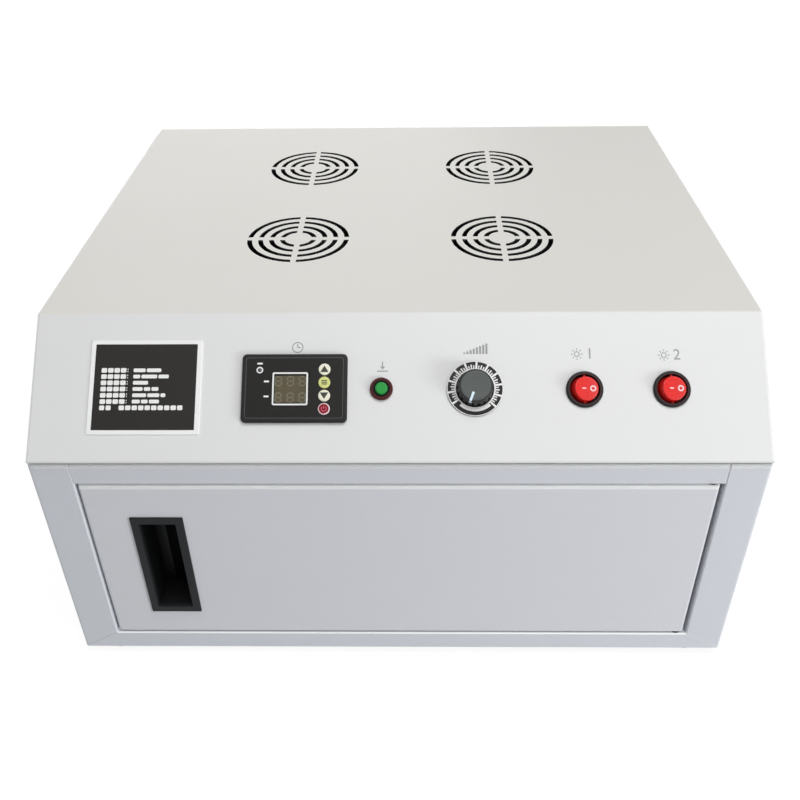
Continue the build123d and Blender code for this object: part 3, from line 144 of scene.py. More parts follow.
class Finish:
    """A node material made from expressions on Values."""

    def __init__(self, name):
        self.material = bpy.data.materials.new(name)
        self.material.use_nodes = True
        self.tree = self.material.node_tree
        self.tree.nodes.clear()
        self.end = self.tree.nodes.new("ShaderNodeOutputMaterial")

    def node(self, kind, settings=None, inputs=None, output=0):
        """Add a shader node: its settings first, then the values or links of its sockets."""
        made = self.tree.nodes.new("ShaderNode" + kind)
        for name, value in (settings or {}).items():
            if name == "stops":
                self.set_stops(made.color_ramp, value)
            else:
                setattr(made, name, value)
        for name, value in (inputs or {}).items():
            if isinstance(value, Value):
                self.tree.links.new(value.socket, made.inputs[name])
            else:
                made.inputs[name].default_value = value
        return Value(self, made.outputs[output])

    @staticmethod
    def set_stops(ramp, stops):
        """Places a ramp's stops: (position, grey level)."""
        while len(ramp.elements) < len(stops):
            ramp.elements.new(1.0)
        for element, (position, level) in zip(ramp.elements, stops):
            element.position = position
            element.color = (level, level, level, 1.0)

    def place(self):
        """Object coordinates, which are the frame's metres."""
        return self.node("TexCoord", output="Object")

    def scaled(self, x, y, z):
        """Object coordinates stretched along each axis, for grain that runs one way."""
        return self.node("Mapping", {}, {"Vector": self.place(), "Scale": (x, y, z)})

    def axes(self, vector=None):
        """The three coordinates of a point as Values."""
        split = self.tree.nodes.new("ShaderNodeSeparateXYZ")
        self.tree.links.new((vector or self.place()).socket, split.inputs[0])
        return [Value(self, output) for output in split.outputs]

    def facing(self):
        """The three parts of the surface's own normal as Values."""
        return self.axes(self.node("NewGeometry", output="Normal"))

    def noise(self, scale, detail=2.0, roughness=0.5, vector=None):
        """Soft noise from 0 to 1; a larger scale makes it finer."""
        inputs = {
            "Vector": vector or self.place(),
            "Scale": scale,
            "Detail": detail,
            "Roughness": roughness,
        }
        return self.node("TexNoise", {}, inputs)

    def cells(self, scale):
        """Distance from the nearest of many scattered points."""
        inputs = {"Vector": self.place(), "Scale": scale}
        return self.node("TexVoronoi", {"feature": "F1"}, inputs, "Distance")

    def ramp(self, factor, *stops):
        """Grey levels that follow a factor through (position, level) stops."""
        return self.node("ValToRGB", {"stops": stops}, {"Fac": factor})

    def mix(self, factor, first, second):
        """A colour between two others."""
        settings = {"data_type": "RGBA"}
        inputs = {0: factor, 6: opaque(first), 7: opaque(second)}
        return self.node("Mix", settings, inputs, 2)

    def bump(self, height, depth, strength=1.0, normal=None):
        """Surface relief, its depth in metres."""
        inputs = {"Height": height, "Distance": depth, "Strength": strength}
        if normal:
            inputs["Normal"] = normal
        return self.node("Bump", {}, inputs)

    def leaning(self, amount):
        """The surface's own normal, leant upward by an amount."""
        plain = self.node("NewGeometry", output="Normal")
        lift = self.node("CombineXYZ", {}, {"Z": amount})
        leant = self.node("VectorMath", {"operation": "ADD"}, {0: plain, 1: lift}, "Vector")
        return self.node("VectorMath", {"operation": "NORMALIZE"}, {0: leant}, "Vector")

    def edge(self, radius, gain=6.0):
        """How near a point is to an outer edge, from 0 to 1."""
        eased = self.node("Bevel", {"samples": 4}, {"Radius": radius})
        plain = self.node("NewGeometry", output="Normal")
        settings = {"operation": "DOT_PRODUCT"}
        alike = self.node("VectorMath", settings, {0: eased, 1: plain}, "Value")
        return ((1.0 - alike) * gain).clamped()

    def surface(self, **inputs):
        """The finish's surface; a socket's spaces are written as underscores."""
        shader = self.node("BsdfPrincipled")
        for name, value in inputs.items():
            socket = shader.socket.node.inputs[name.replace("_", " ")]
            if isinstance(value, Value):
                self.tree.links.new(value.socket, socket)
            else:
                socket.default_value = opaque(value) if name.endswith("Color") else value
        self.tree.links.new(shader.socket, self.end.inputs["Surface"])
        return self.material


def opaque(colour):
    """A colour as four numbers, from three or from a Value."""
    if isinstance(colour, Value) or len(colour) == 4:
        return colour
    return (*colour, 1.0)


def shade(colour, factor):
    """A colour made darker or lighter."""
    return tuple(min(1.0, part * factor) for part in colour)


def srgb(red, green, blue):
    """A colour written as 0 to 255 on a screen, as the linear numbers a shader takes."""

    def linear(level):
        part = level / 255
        return part / 12.92 if part <= 0.04045 else ((part + 0.055) / 1.055) ** 2.4

    return (linear(red), linear(green), linear(blue))


# Sheet edges where painted highlight or painted shade goes on the powder, in metres; a fade is one over
# its width
ROLL_HEIGHT = 0.0038
ROLL_FADE = 1200.0
SEAM_HEIGHT = 0.0005
LIP_HEIGHT = 0.001
LIP_FADE = 900.0
SLOT_DEPTH = 0.0014
GRILLE_REACH_X = 0.19
GRILLE_REACH_Y = 0.16
EDGE_RADIUS = 0.0012
PEEL_DEPTH = 0.00011

# How strongly each painted highlight and painted shade shows
ROLL_HIGHLIGHT_SHARE = 0.95
ROLL_LEAN = 0.9
LIP_SHADE_SHARE = 0.55
EDGE_HIGHLIGHT_SHARE = 0.7
PAINTED_SHADE_LEVEL = 0.05
# The white that the painted highlights mix toward
HIGHLIGHT_WHITE = (0.97, 0.975, 0.98)

# Which way a face looks, as parts of its normal: to the front, upright, bent upward, level
ROLL_FRONT = -0.4
LIP_FRONT = -0.3
BEND_FRONT = -0.1
UPRIGHT = 0.5
BEND_START = 0.08
BEND_FADE = 3.0
LEVEL_START = 0.85
LEVEL_FADE = 8.0


def rolled_edge(coat, node):
    """Mask of the rounded top edge on the front of a folded sheet, where a highlight is painted."""
    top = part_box(node)[1].z
    inward = coat.facing()[1]
    height = coat.axes()[2]
    under = ((height - (top - ROLL_HEIGHT)) * ROLL_FADE).clamped()
    return under * (inward < ROLL_FRONT)


def case_hollows(coat):
    """Mask of painted shade in the case's seam under the hood."""
    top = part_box("lower_case")[1].z
    return coat.axes()[2] > top - SEAM_HEIGHT


def hood_hollows(coat):
    """Mask of painted shade under the hood's lower lip and on the walls of its grille slots."""
    low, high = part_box("hood")
    inward, upward = coat.facing()[1:]
    x, y, z = coat.axes()
    lip = ((low.z + LIP_HEIGHT - z) * LIP_FADE).clamped() * (inward < LIP_FRONT) * LIP_SHADE_SHARE
    inside = (x.size() < GRILLE_REACH_X) * (y.size() < GRILLE_REACH_Y)
    wall = (upward.size() < UPRIGHT) * (z > high.z - SLOT_DEPTH) * inside
    return lip.most(wall)


def powder_coat(name, colour, bend_highlight=0.0, lit_top_warmth=0.0, rolled=None, painted_shade=None):
    """Baked powder on steel: orange peel, clouding and specks, with painted highlights on bends, edges
    and rolled tops, a painted warmer tint on lit flat tops, and painted shade where asked.
    """
    coat = Finish(name)
    inward, upward = coat.facing()[1:]
    # Painted highlight: bends that face up and to the front go toward white
    fold_highlight = ((upward - BEND_START) * BEND_FADE).clamped() * (inward < BEND_FRONT) * bend_highlight
    # Painted light: upward faces get a warmer tint, as the light on the flat tops
    level = ((upward - LEVEL_START) * LEVEL_FADE).clamped() * lit_top_warmth
    # Painted highlight along outer edges
    edge_highlight = coat.edge(EDGE_RADIUS, 5.0) * EDGE_HIGHLIGHT_SHARE
    cloud = coat.noise(6.0, 3.0, 0.6)
    drift = coat.noise(38.0, 2.0)
    peel = coat.noise(620.0, 2.0, 0.45)
    grit = coat.noise(2300.0, 1.0)
    speck = coat.cells(115.0) < 0.018
    # The warmer tint painted on lit upward faces
    lit_top_tint = (colour[0] * 1.01, colour[1] * 0.985, colour[2] * 0.92)
    paint = coat.mix(cloud, shade(colour, 0.965), colour)
    paint = coat.mix(level, paint, lit_top_tint)
    paint = coat.mix(drift * 0.3, paint, shade(colour, 1.03))
    paint = coat.mix(speck * 0.35, paint, shade(colour, 0.45))
    # All the painted highlights of this coat
    bright = fold_highlight.most(edge_highlight)
    normal = None
    if rolled:
        # Painted highlight along the rolled top edge; the normal is also leant upward there
        roll = rolled_edge(coat, rolled)
        bright = bright.most(roll * ROLL_HIGHLIGHT_SHARE)
        normal = coat.leaning(roll * ROLL_LEAN)
    paint = coat.mix(bright, paint, HIGHLIGHT_WHITE)
    # Painted shade: darkens the masked seam, lip and slot walls
    if painted_shade:
        paint = coat.mix(painted_shade(coat), paint, shade(colour, PAINTED_SHADE_LEVEL))
    rough = 0.36 + cloud * 0.10 + grit * 0.12
    relief = coat.bump(peel * 0.75 + grit * 0.25, PEEL_DEPTH, 0.55, normal)
    return coat.surface(
        Base_Color=paint,
        Roughness=rough,
        Normal=relief,
        Specular_IOR_Level=0.35,
    )


# Radius of the lightened edges on grained plastic, from rubbing and painted sheen, and of the painted
# highlight on smooth plastic, in metres
EDGE_SHEEN_RADIUS = 0.0004
RIM_RADIUS = 0.0007


def moulded_plastic(name, colour, rough=0.42, grain=1500.0, depth=0.00005, worn=1.25, shine=0.5):
    """Moulded plastic with a spark-eroded grain, lighter along its edges from rubbing and painted
    sheen.
    """
    plastic = Finish(name)
    cloud = plastic.noise(30.0, 3.0, 0.6)
    pits = plastic.noise(grain, 2.0, 0.6)
    # Edges lighter from rubbing and from painted sheen; worn sets how much
    rubbed_and_sheen = plastic.edge(EDGE_SHEEN_RADIUS) * (0.3 + plastic.noise(220.0, 3.0) * 0.7)
    tone = plastic.mix(cloud, shade(colour, 0.9), shade(colour, 1.1))
    tone = plastic.mix(rubbed_and_sheen * 0.5, tone, shade(colour, worn))
    return plastic.surface(
        Base_Color=tone,
        Roughness=rough + pits * 0.14 - rubbed_and_sheen * 0.08,
        Normal=plastic.bump(pits, depth, 0.6),
        Specular_IOR_Level=shine,
    )


# Flush pull, in metres: where its painted shade starts, how thick its back is, where its painted light
# strip starts
SHADE_START = 0.0008
BACK_THICKNESS = 0.003
LIT_STRIP_START = 0.005
LIT_STRIP_BASE = 0.02


def recessed_plastic(name, colour, node):
    """Grained plastic of a flush pull: painted shade that darkens it with depth, and a painted light
    strip on its back.
    """
    low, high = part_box(node)
    plastic = Finish(name)
    x, y, z = plastic.axes()
    grain = plastic.noise(1300.0, 2.0, 0.6)
    # Painted shade: darker the deeper into the pull
    depth_shade = ((y - low.y - SHADE_START) * 400.0).clamped()
    back = (y > high.y - BACK_THICKNESS) * (x < (low.x + high.x) / 2)
    # Painted light: a paler strip on the back wall, where light reaches it
    lit_strip = ((x - low.x - LIT_STRIP_START) * 85.0).clamped() ** 3.0
    fade = ((z - low.z - LIT_STRIP_BASE) * 25.0).clamped()
    tone = plastic.mix(grain * 0.4, colour, shade(colour, 1.25))
    tone = plastic.mix(depth_shade, tone, shade(colour, 0.1))
    tone = plastic.mix(back * lit_strip * fade, tone, shade(colour, 4.0))
    return plastic.surface(
        Base_Color=tone,
        Roughness=0.42 + grain * 0.14,
        Normal=plastic.bump(grain, 0.00003, 0.6),
        Specular_IOR_Level=0.18,
    )


def gloss_plastic(name, colour, rough=0.14, depth=0.6, coat=0.35, shine=0.5):
    """Smooth coloured plastic with a painted highlight along its edges."""
    plastic = Finish(name)
    cloud = plastic.noise(90.0, 2.0)
    smear = plastic.noise(700.0, 3.0, 0.7)
    rim = plastic.edge(RIM_RADIUS, 4.0)
    tone = plastic.mix(cloud, shade(colour, 0.92), shade(colour, 1.06))
    # Painted highlight: edges lighter, by an amount set by depth
    tone = plastic.mix(rim * depth, tone, shade(colour, 1.45))
    return plastic.surface(
        Base_Color=tone,
        Roughness=rough + smear * 0.12,
        Normal=plastic.bump(smear, 0.00001, 0.4),
        Coat_Weight=coat,
        Coat_Roughness=0.08,
        Specular_IOR_Level=shine,
    )


def rubber(name, colour):
    """Moulded rubber: dull, with patches of dust."""
    gum = Finish(name)
    dust = gum.noise(140.0, 4.0, 0.65)
    pores = gum.cells(1300.0)
    bloom = gum.ramp(dust, (0.42, 0.0), (0.78, 1.0))
    return gum.surface(
        Base_Color=gum.mix(bloom * 0.3, colour, shade(colour, 3.2)),
        Roughness=0.72 + dust * 0.2,
        Normal=gum.bump(pores, 0.00008, 0.5),
    )


def plated_steel(name, colour):
    """Zinc-plated steel: crystalline clouding with dulled spots."""
    metal = Finish(name)
    spangle = metal.cells(420.0)
    cloud = metal.noise(70.0, 4.0, 0.6)
    blue = (colour[0] * 0.94, colour[1] * 0.99, min(1.0, colour[2] * 1.06))
    return metal.surface(
        Base_Color=metal.mix(cloud, blue, shade(colour, 1.08)),
        Metallic=1.0,
        Roughness=0.24 + cloud * 0.16 + spangle * 0.08,
        Normal=metal.bump(spangle, 0.00001, 0.5),
    )


def rolled_aluminium(name, colour, along, rough):
    """Aluminium with rolling or extrusion lines; along is the stretch of its grain."""
    metal = Finish(name)
    lines = metal.noise(1.0, 4.0, 0.7, metal.scaled(*along))
    haze = metal.noise(22.0, 3.0)
    return metal.surface(
        Base_Color=metal.mix(lines, shade(colour, 0.86), shade(colour, 1.05)),
        Metallic=1.0,
        Roughness=rough + lines * 0.14 + haze * 0.08,
        Normal=metal.bump(lines, 0.00002, 0.5),
    )


def quartz_glass(name):
    """Clear quartz with a faint haze of wiping marks."""
    glass = Finish(name)
    wiped = glass.noise(1.0, 3.0, 0.6, glass.scaled(60.0, 420.0, 60.0))
    return glass.surface(
        Base_Color=(0.96, 0.985, 1.0),
        Roughness=0.015 + wiped * 0.05,
        Transmission_Weight=1.0,
        IOR=1.46,
    )


# Board tracks and emitter conductors, in metres: half the step from one to the next, half a width
TRACK_STEP = (0.00127, 0.0019)
TRACK_WIDTH = (0.0003, 0.00035)
TRACK_WANDER = (0.004, 0.006)
GRID_STEP = 0.00225
GRID_WIDTH = 0.00022
GRID_GOLD = (0.7, 0.5, 0.2)


def circuit_board(name, mask, copper):
    """Solder mask over tracks that run both ways, with tinned pads."""
    board = Finish(name)
    x, y = board.axes()[:2]
    lane = board.noise(95.0, 1.0, 0.3)
    track = (x + lane * TRACK_WANDER[0]).zigzag(TRACK_STEP[0]) < TRACK_WIDTH[0]
    cross = (y - lane * TRACK_WANDER[1]).zigzag(TRACK_STEP[1]) < TRACK_WIDTH[1]
    pads = board.cells(210.0) < 0.16
    tone = board.mix(track.most(cross) * 0.6, mask, shade(mask, 1.7))
    tone = board.mix(pads, tone, copper)
    return board.surface(
        Base_Color=tone,
        Roughness=0.32 + lane * 0.15 - pads * 0.1,
        Metallic=pads * 0.9,
        Normal=board.bump(track.most(cross), 0.00003, 0.6),
    )


def emitter_face(name, colour):
    """Clear-coated ceramic with the printed conductor grid under the dies."""
    face = Finish(name)
    x, y = face.axes()[:2]
    grid = (x.zigzag(GRID_STEP) < GRID_WIDTH).most(y.zigzag(GRID_STEP) < GRID_WIDTH)
    cloud = face.noise(160.0, 3.0)
    ceramic = face.mix(cloud, shade(colour, 0.9), colour)
    return face.surface(
        Base_Color=face.mix(grid * 0.8, ceramic, GRID_GOLD),
        Roughness=0.16 + cloud * 0.1,
        Metallic=grid * 0.8,
        Coat_Weight=0.6,
    )


def printed_ink(name, colour, cover=0.5, shine=0.5):
    """Screen-printed ink: slightly uneven, with a soft tooth."""
    ink = Finish(name)
    mesh = ink.noise(900.0, 2.0, 0.6)
    worn = ink.ramp(ink.noise(260.0, 4.0, 0.65), (0.35, 0.0), (0.75, 1.0))
    return ink.surface(
        Base_Color=ink.mix(worn * 0.35, colour, shade(colour, cover)),
        Roughness=0.42 + mesh * 0.2,
        Normal=ink.bump(mesh, 0.00001, 0.5),
        Specular_IOR_Level=shine,
    )


DUST_GREY = (0.5, 0.5, 0.5)


def satin_film(name, colour, rough=0.3, shine=0.3):
    """Printed polyester film: smooth, with fine scuffs and a few dust points."""
    film = Finish(name)
    scuff = film.noise(1.0, 4.0, 0.7, film.scaled(160.0, 1400.0, 160.0))
    cloud = film.noise(18.0, 2.0)
    fleck = film.cells(260.0) < 0.03
    tone = film.mix(cloud, shade(colour, 0.93), shade(colour, 1.08))
    tone = film.mix(fleck * 0.25, tone, DUST_GREY)
    return film.surface(
        Base_Color=tone,
        Roughness=rough + scuff * 0.16,
        Normal=film.bump(scuff, 0.00001, 0.35),
        Specular_IOR_Level=shine,
    )


def smoked_window(name, colour, clear):
    """Smoked acrylic that lets the display show through."""
    pane = Finish(name)
    haze = pane.noise(240.0, 3.0, 0.6)
    return pane.surface(
        Base_Color=pane.mix(haze, shade(colour, 0.85), shade(colour, 1.1)),
        Roughness=0.1 + haze * 0.1,
        Alpha=clear,
        Coat_Weight=0.3,
    )


def insulated_lead(name, colour):
    """Soft insulation with a dull, slightly dusty skin."""
    skin = Finish(name)
    cloud = skin.noise(120.0, 3.0)
    return skin.surface(
        Base_Color=skin.mix(cloud, shade(colour, 0.8), shade(colour, 1.15)),
        Roughness=0.38 + cloud * 0.2,
        Normal=skin.bump(cloud, 0.00005, 0.4),
    )


HOOD_WHITE = srgb(231, 231, 231)
# The case and door wear the hood's white; their cooler, greyer whites are painted shade
CASE_WHITE_SHADED = srgb(222, 225, 231)
DOOR_WHITE_SHADED = srgb(226, 227, 232)

# Stretch of the rolling lines on the liner, the heat sinks and the drivers
LINER_GRAIN = (18.0, 900.0, 18.0)
SINK_GRAIN = (700.0, 9.0, 700.0)
DRIVER_GRAIN = (12.0, 800.0, 12.0)

finishes = {
    "hood_paint": powder_coat("hood_powder", HOOD_WHITE, lit_top_warmth=1.0, painted_shade=hood_hollows),
    "case_paint": powder_coat(
        "case_powder", CASE_WHITE_SHADED, bend_highlight=1.0, rolled="lower_case", painted_shade=case_hollows
    ),
    "door_paint": powder_coat("door_powder", DOOR_WHITE_SHADED, bend_highlight=0.9, rolled="door_panel"),
    "bright_steel": plated_steel("zinc_steel", (0.60, 0.61, 0.62)),
    "reflector": rolled_aluminium("reflector_sheet", (0.84, 0.85, 0.86), LINER_GRAIN, rough=0.22),
    "sink_aluminium": rolled_aluminium("extruded_sink", (0.70, 0.71, 0.72), SINK_GRAIN, rough=0.3),
    "quartz": quartz_glass("quartz_glass"),
    "board_green": circuit_board("green_board", srgb(26, 92, 52), copper=(0.75, 0.74, 0.70)),
    "board_white": circuit_board("white_board", srgb(228, 228, 222), copper=(0.72, 0.60, 0.34)),
    "array_face": emitter_face("emitter_face", srgb(214, 206, 168)),
    "fan_black": moulded_plastic(
        "fan_plastic", srgb(14, 14, 15), rough=0.5, grain=900.0, depth=0.00004, worn=1.5, shine=0.15
    ),
    "black_plastic": moulded_plastic(
        "black_plastic", srgb(18, 18, 19), rough=0.36, grain=1700.0, depth=0.00002, worn=1.6, shine=0.22
    ),
    "pull_plastic": recessed_plastic("pull_plastic", srgb(27, 29, 31), "door_pull"),
    "seal_rubber": rubber("seal_rubber", srgb(42, 42, 43)),
    "foot_rubber": rubber("foot_rubber", srgb(34, 34, 35)),
    "nylon": moulded_plastic(
        "nylon", srgb(30, 30, 32), rough=0.4, grain=800.0, depth=0.00002, worn=1.3, shine=0.2
    ),
    "driver_case": rolled_aluminium("driver_case", (0.62, 0.63, 0.65), DRIVER_GRAIN, rough=0.34),
    "wire_red": insulated_lead("wire_skin", srgb(150, 26, 24)),
    "label_black": satin_film("label_border", srgb(250, 250, 248), rough=0.32),
    "bezel_plastic": moulded_plastic(
        "timer_plastic", srgb(22, 22, 22), rough=0.36, grain=2200.0, depth=0.00002, worn=1.7, shine=0.22
    ),
    "window_smoke": smoked_window("smoked_window", srgb(60, 54, 40), clear=0.2),
    "key_ivory": gloss_plastic("ivory_key", srgb(238, 236, 214), rough=0.3, depth=0.2, coat=0.1),
    "key_yellow": gloss_plastic("yellow_key", srgb(216, 220, 134), rough=0.3, depth=0.2, coat=0.1),
    "key_red": gloss_plastic("red_key", srgb(238, 214, 216), rough=0.3, depth=0.2, coat=0.1),
    "trigger_dark": gloss_plastic(
        "trigger_ring", srgb(72, 22, 24), rough=0.3, depth=0.3, coat=0.0, shine=0.15
    ),
    "trigger_green": gloss_plastic(
        "trigger_cap", srgb(30, 150, 60), rough=0.24, depth=0.3, coat=0.05, shine=0.25
    ),
    "dial_black": satin_film("dial_face", srgb(20, 20, 21), rough=0.34, shine=0.2),
    "knob_grey": moulded_plastic(
        "knob_plastic", srgb(38, 39, 40), rough=0.38, grain=1600.0, depth=0.00003, worn=1.5, shine=0.25
    ),
    "rocker_red": gloss_plastic(
        "rocker_red", srgb(226, 34, 30), rough=0.22, depth=0.3, coat=0.12, shine=0.35
    ),
}
white_ink = printed_ink("white_ink", srgb(244, 244, 242), cover=0.9)
grey_ink = printed_ink("grey_ink", srgb(150, 151, 152), cover=1.12)
dark_ink = printed_ink("dark_ink", srgb(24, 28, 12), cover=1.3)
crimson_ink = printed_ink("crimson_ink", srgb(138, 8, 34), cover=0.9, shine=0.2)
# Painted shade in the trigger's well
well_shade_ink = printed_ink("well_shade_ink", srgb(10, 18, 12), cover=0.8, shine=0.1)
# Painted highlight ring on each rocker mouth's inner lip
mouth_highlight_ink = printed_ink("mouth_highlight_ink", srgb(66, 30, 28), cover=0.8, shine=0.2)
# Painted highlight line along the timer face's edge
edge_highlight_ink = printed_ink("edge_highlight_ink", srgb(88, 88, 88), cover=0.5)
# Painted shadow on the pull's back wall
shadow_black = printed_ink("shadow_black", srgb(3, 4, 4), cover=0.8, shine=0.02)
black_film = satin_film("black_film", srgb(37, 35, 33), rough=0.36, shine=0.2)
timer_film = satin_film("timer_film", srgb(30, 29, 28), rough=0.38, shine=0.15)
display_face = satin_film("display_face", srgb(126, 115, 86), rough=0.45)
segment_ink = printed_ink("segment_ink", srgb(170, 162, 136), cover=0.9)
rose_ink = printed_ink("rose_ink", srgb(246, 222, 222), cover=0.92)
faded_rose = printed_ink("faded_rose", srgb(206, 116, 130), cover=0.8)
pointer_ink = printed_ink("pointer_ink", srgb(222, 240, 248), cover=0.95)
knob_top = satin_film("knob_top", srgb(78, 82, 81), rough=0.4, shine=0.3)
blade_metal = plated_steel("nickel_blade", (0.66, 0.64, 0.60))
die_gold = plated_steel("emitter_die", (0.52, 0.50, 0.56))
badge_film = satin_film("fan_badge", srgb(18, 18, 20), rough=0.4, shine=0.15)

for node in nodes.values():
    for place in node.material_slots:
        place.material = finishes[place.material.name]


# The sloped panel's own axes: across, up the slope and out of it, from the frame's joints
slope_out = Vector(joints["dimmer_turn"]["axis"]).normalized()
slope_up = Vector(joints["left_rocker_tilt"]["axis"]).normalized()
hood_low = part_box("hood")[0]
panel_origin = Vector((0.0, hood_low.y, hood_low.z))
panel_turn = Matrix((Vector((1, 0, 0)), slope_up, slope_out)).transposed().to_4x4()
panel_matrix = Matrix.Translation(panel_origin) @ panel_turn
to_panel = panel_matrix.inverted()


def panel_at(x, rise, lift):
    """Matrix of a point of the panel, in millimetres."""
    return panel_matrix @ Matrix.Translation(Vector((x, rise, lift)) * MM)


def panel_box(node):
    """Lowest and highest corner of a node in the panel's axes, in millimetres."""
    points = [to_panel @ vertex.co / MM for vertex in nodes[node].data.vertices]
    low = Vector(min(point[axis] for point in points) for axis in range(3))
    high = Vector(max(point[axis] for point in points) for axis in range(3))
    return low, high


def panel_centre(node):
    """Where a node's middle is on the panel, and how far its top stands out."""
    low, high = panel_box(node)
    return (low.x + high.x) / 2, (low.y + high.y) / 2, high.z


# Outlines in millimetres, for printed and cut sheets
def circle(radius, x=0.0, y=0.0, steps=64):
    """Outline of a circle."""
    return [
        (x + radius * cos(2 * pi * step / steps), y + radius * sin(2 * pi * step / steps))
        for step in range(steps)
    ]


def rectangle(width, height, x=0.0, y=0.0, corner=0.0, steps=6):
    """Outline of a rectangle, its corners rounded."""
    if not corner:
        return [
            (x + a * width / 2, y + b * height / 2) for a, b in ((-1, -1), (1, -1), (1, 1), (-1, 1))
        ]
    points = []
    for quarter, (a, b) in enumerate(((1, 1), (-1, 1), (-1, -1), (1, -1))):
        for step in range(steps + 1):
            turn = pi / 2 * (quarter + step / steps)
            points.append(
                (
                    x + a * (width / 2 - corner) + corner * cos(turn),
                    y + b * (height / 2 - corner) + corner * sin(turn),
                )
            )
    return points


def arc_band(inner, outer, start, end, steps=32):
    """Outline of a band between two radii, from one angle to another in degrees."""
    turns = [radians(start + (end - start) * step / steps) for step in range(steps + 1)]
    points = [(outer * cos(turn), outer * sin(turn)) for turn in turns]
    return points + [(inner * cos(turn), inner * sin(turn)) for turn in reversed(turns)]


def spoke(inner, outer, width, angle, x=0.0, y=0.0):
    """Outline of a bar that points away from a centre."""
    turn = radians(angle)
    along = Vector((cos(turn), sin(turn)))
    aside = Vector((-sin(turn), cos(turn))) * width / 2
    near = along * inner
    far = along * outer
    corners = (near - aside, far - aside, far + aside, near + aside)
    return [(x + corner.x, y + corner.y) for corner in corners]


# Pieces: meshes made in millimetres, placed in metres, each riding on a body
SMOOTH_ANGLE = radians(35)
EASED_ANGLE = radians(40)
FONT_SIZE = 1.4


def put(name, mesh, matrix, finish, body):
    """A finished mesh as a piece that rides on a body."""
    for polygon in mesh.polygons:
        polygon.use_smooth = True
    mesh.set_sharp_from_angle(angle=SMOOTH_ANGLE)
    mesh.materials.clear()
    mesh.materials.append(finish)
    piece = bpy.data.objects.new(name, mesh)
    bpy.context.scene.collection.objects.link(piece)
    piece.matrix_world = matrix
    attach(piece, body)
    return piece


def ease(piece, width):
    """Rounds a piece's sharp edges by a width in millimetres."""
    bevel = piece.modifiers.new("eased_edges", "BEVEL")
    bevel.width = width * MM
    bevel.segments = 2
    bevel.limit_method = "ANGLE"
    bevel.angle_limit = EASED_ANGLE
    bevel.harden_normals = False
    return piece


def sheet_mesh(name, outlines, thickness):
    """Flat sheet cut to outlines; an outline inside another is a hole."""
    shape = bpy.data.curves.new(name, "CURVE")
    shape.dimensions = "2D"
    shape.fill_mode = "BOTH"
    shape.extrude = thickness / 2 * MM
    for outline in outlines:
        line = shape.splines.new("POLY")
        line.points.add(len(outline) - 1)
        for point, (x, y) in zip(line.points, outline):
            point.co = (x * MM, y * MM, 0.0, 1.0)
        line.use_cyclic_u = True
    holder = bpy.data.objects.new(name, shape)
    mesh = bpy.data.meshes.new_from_object(holder)
    bpy.data.objects.remove(holder)
    bpy.data.curves.remove(shape)
    mesh.name = name
    mesh.transform(Matrix.Translation((0.0, 0.0, thickness / 2 * MM)))
    return mesh


def cut_sheet(name, outlines, thickness, matrix, finish, body):
    """A printed or cut sheet as a piece."""
    return put(name, sheet_mesh(name, outlines, thickness), matrix, finish, body)


def numeral_mesh(name, figure, height, thickness):
    """A plain number as a thin solid, centred on its own middle; FONT_SIZE is for its height."""
    words = bpy.data.curves.new(name, "FONT")
    words.body = figure
    words.align_x = "CENTER"
    words.align_y = "CENTER"
    words.size = height * FONT_SIZE * MM
    words.extrude = thickness / 2 * MM
    holder = bpy.data.objects.new(name, words)
    mesh = bpy.data.meshes.new_from_object(holder)
    bpy.data.objects.remove(holder)
    bpy.data.curves.remove(words)
    mesh.transform(Matrix.Translation((0.0, 0.0, thickness / 2 * MM)))
    return mesh


def turned_mesh(name, profile, steps=72):
    """A profile of (radius, height) turned about Z; a radius of 0 closes it."""
    shell = bmesh.new()
    rings = []
    for radius, height in profile:
        if radius == 0:
            rings.append([shell.verts.new((0.0, 0.0, height * MM))])
            continue
        rings.append(
            [
                shell.verts.new(
                    (
                        radius * MM * cos(2 * pi * step / steps),
                        radius * MM * sin(2 * pi * step / steps),
                        height * MM,
                    )
                )
                for step in range(steps)
            ]
        )
    for below, above in zip(rings, rings[1:]):
        for step in range(steps):
            after = (step + 1) % steps
            if len(below) == 1:
                shell.faces.new((below[0], above[step], above[after]))
            elif len(above) == 1:
                shell.faces.new((below[step], below[after], above[0]))
            else:
                shell.faces.new((below[step], below[after], above[after], above[step]))
    bmesh.ops.recalc_face_normals(shell, faces=shell.faces)
    mesh = bpy.data.meshes.new(name)
    shell.to_mesh(mesh)
    shell.free()
    return mesh


def joined(name, meshes):
    """Several meshes as one."""
    shell = bmesh.new()
    for mesh in meshes:
        shell.from_mesh(mesh)
        bpy.data.meshes.remove(mesh)
    whole = bpy.data.meshes.new(name)
    shell.to_mesh(whole)
    shell.free()
    return whole


def moved(mesh, x, y, z):
    """A mesh shifted by millimetres."""
    mesh.transform(Matrix.Translation(Vector((x, y, z)) * MM))
    return mesh


# Thickness of printed and cut sheets, in millimetres
INK = 0.05
FILM = 0.08


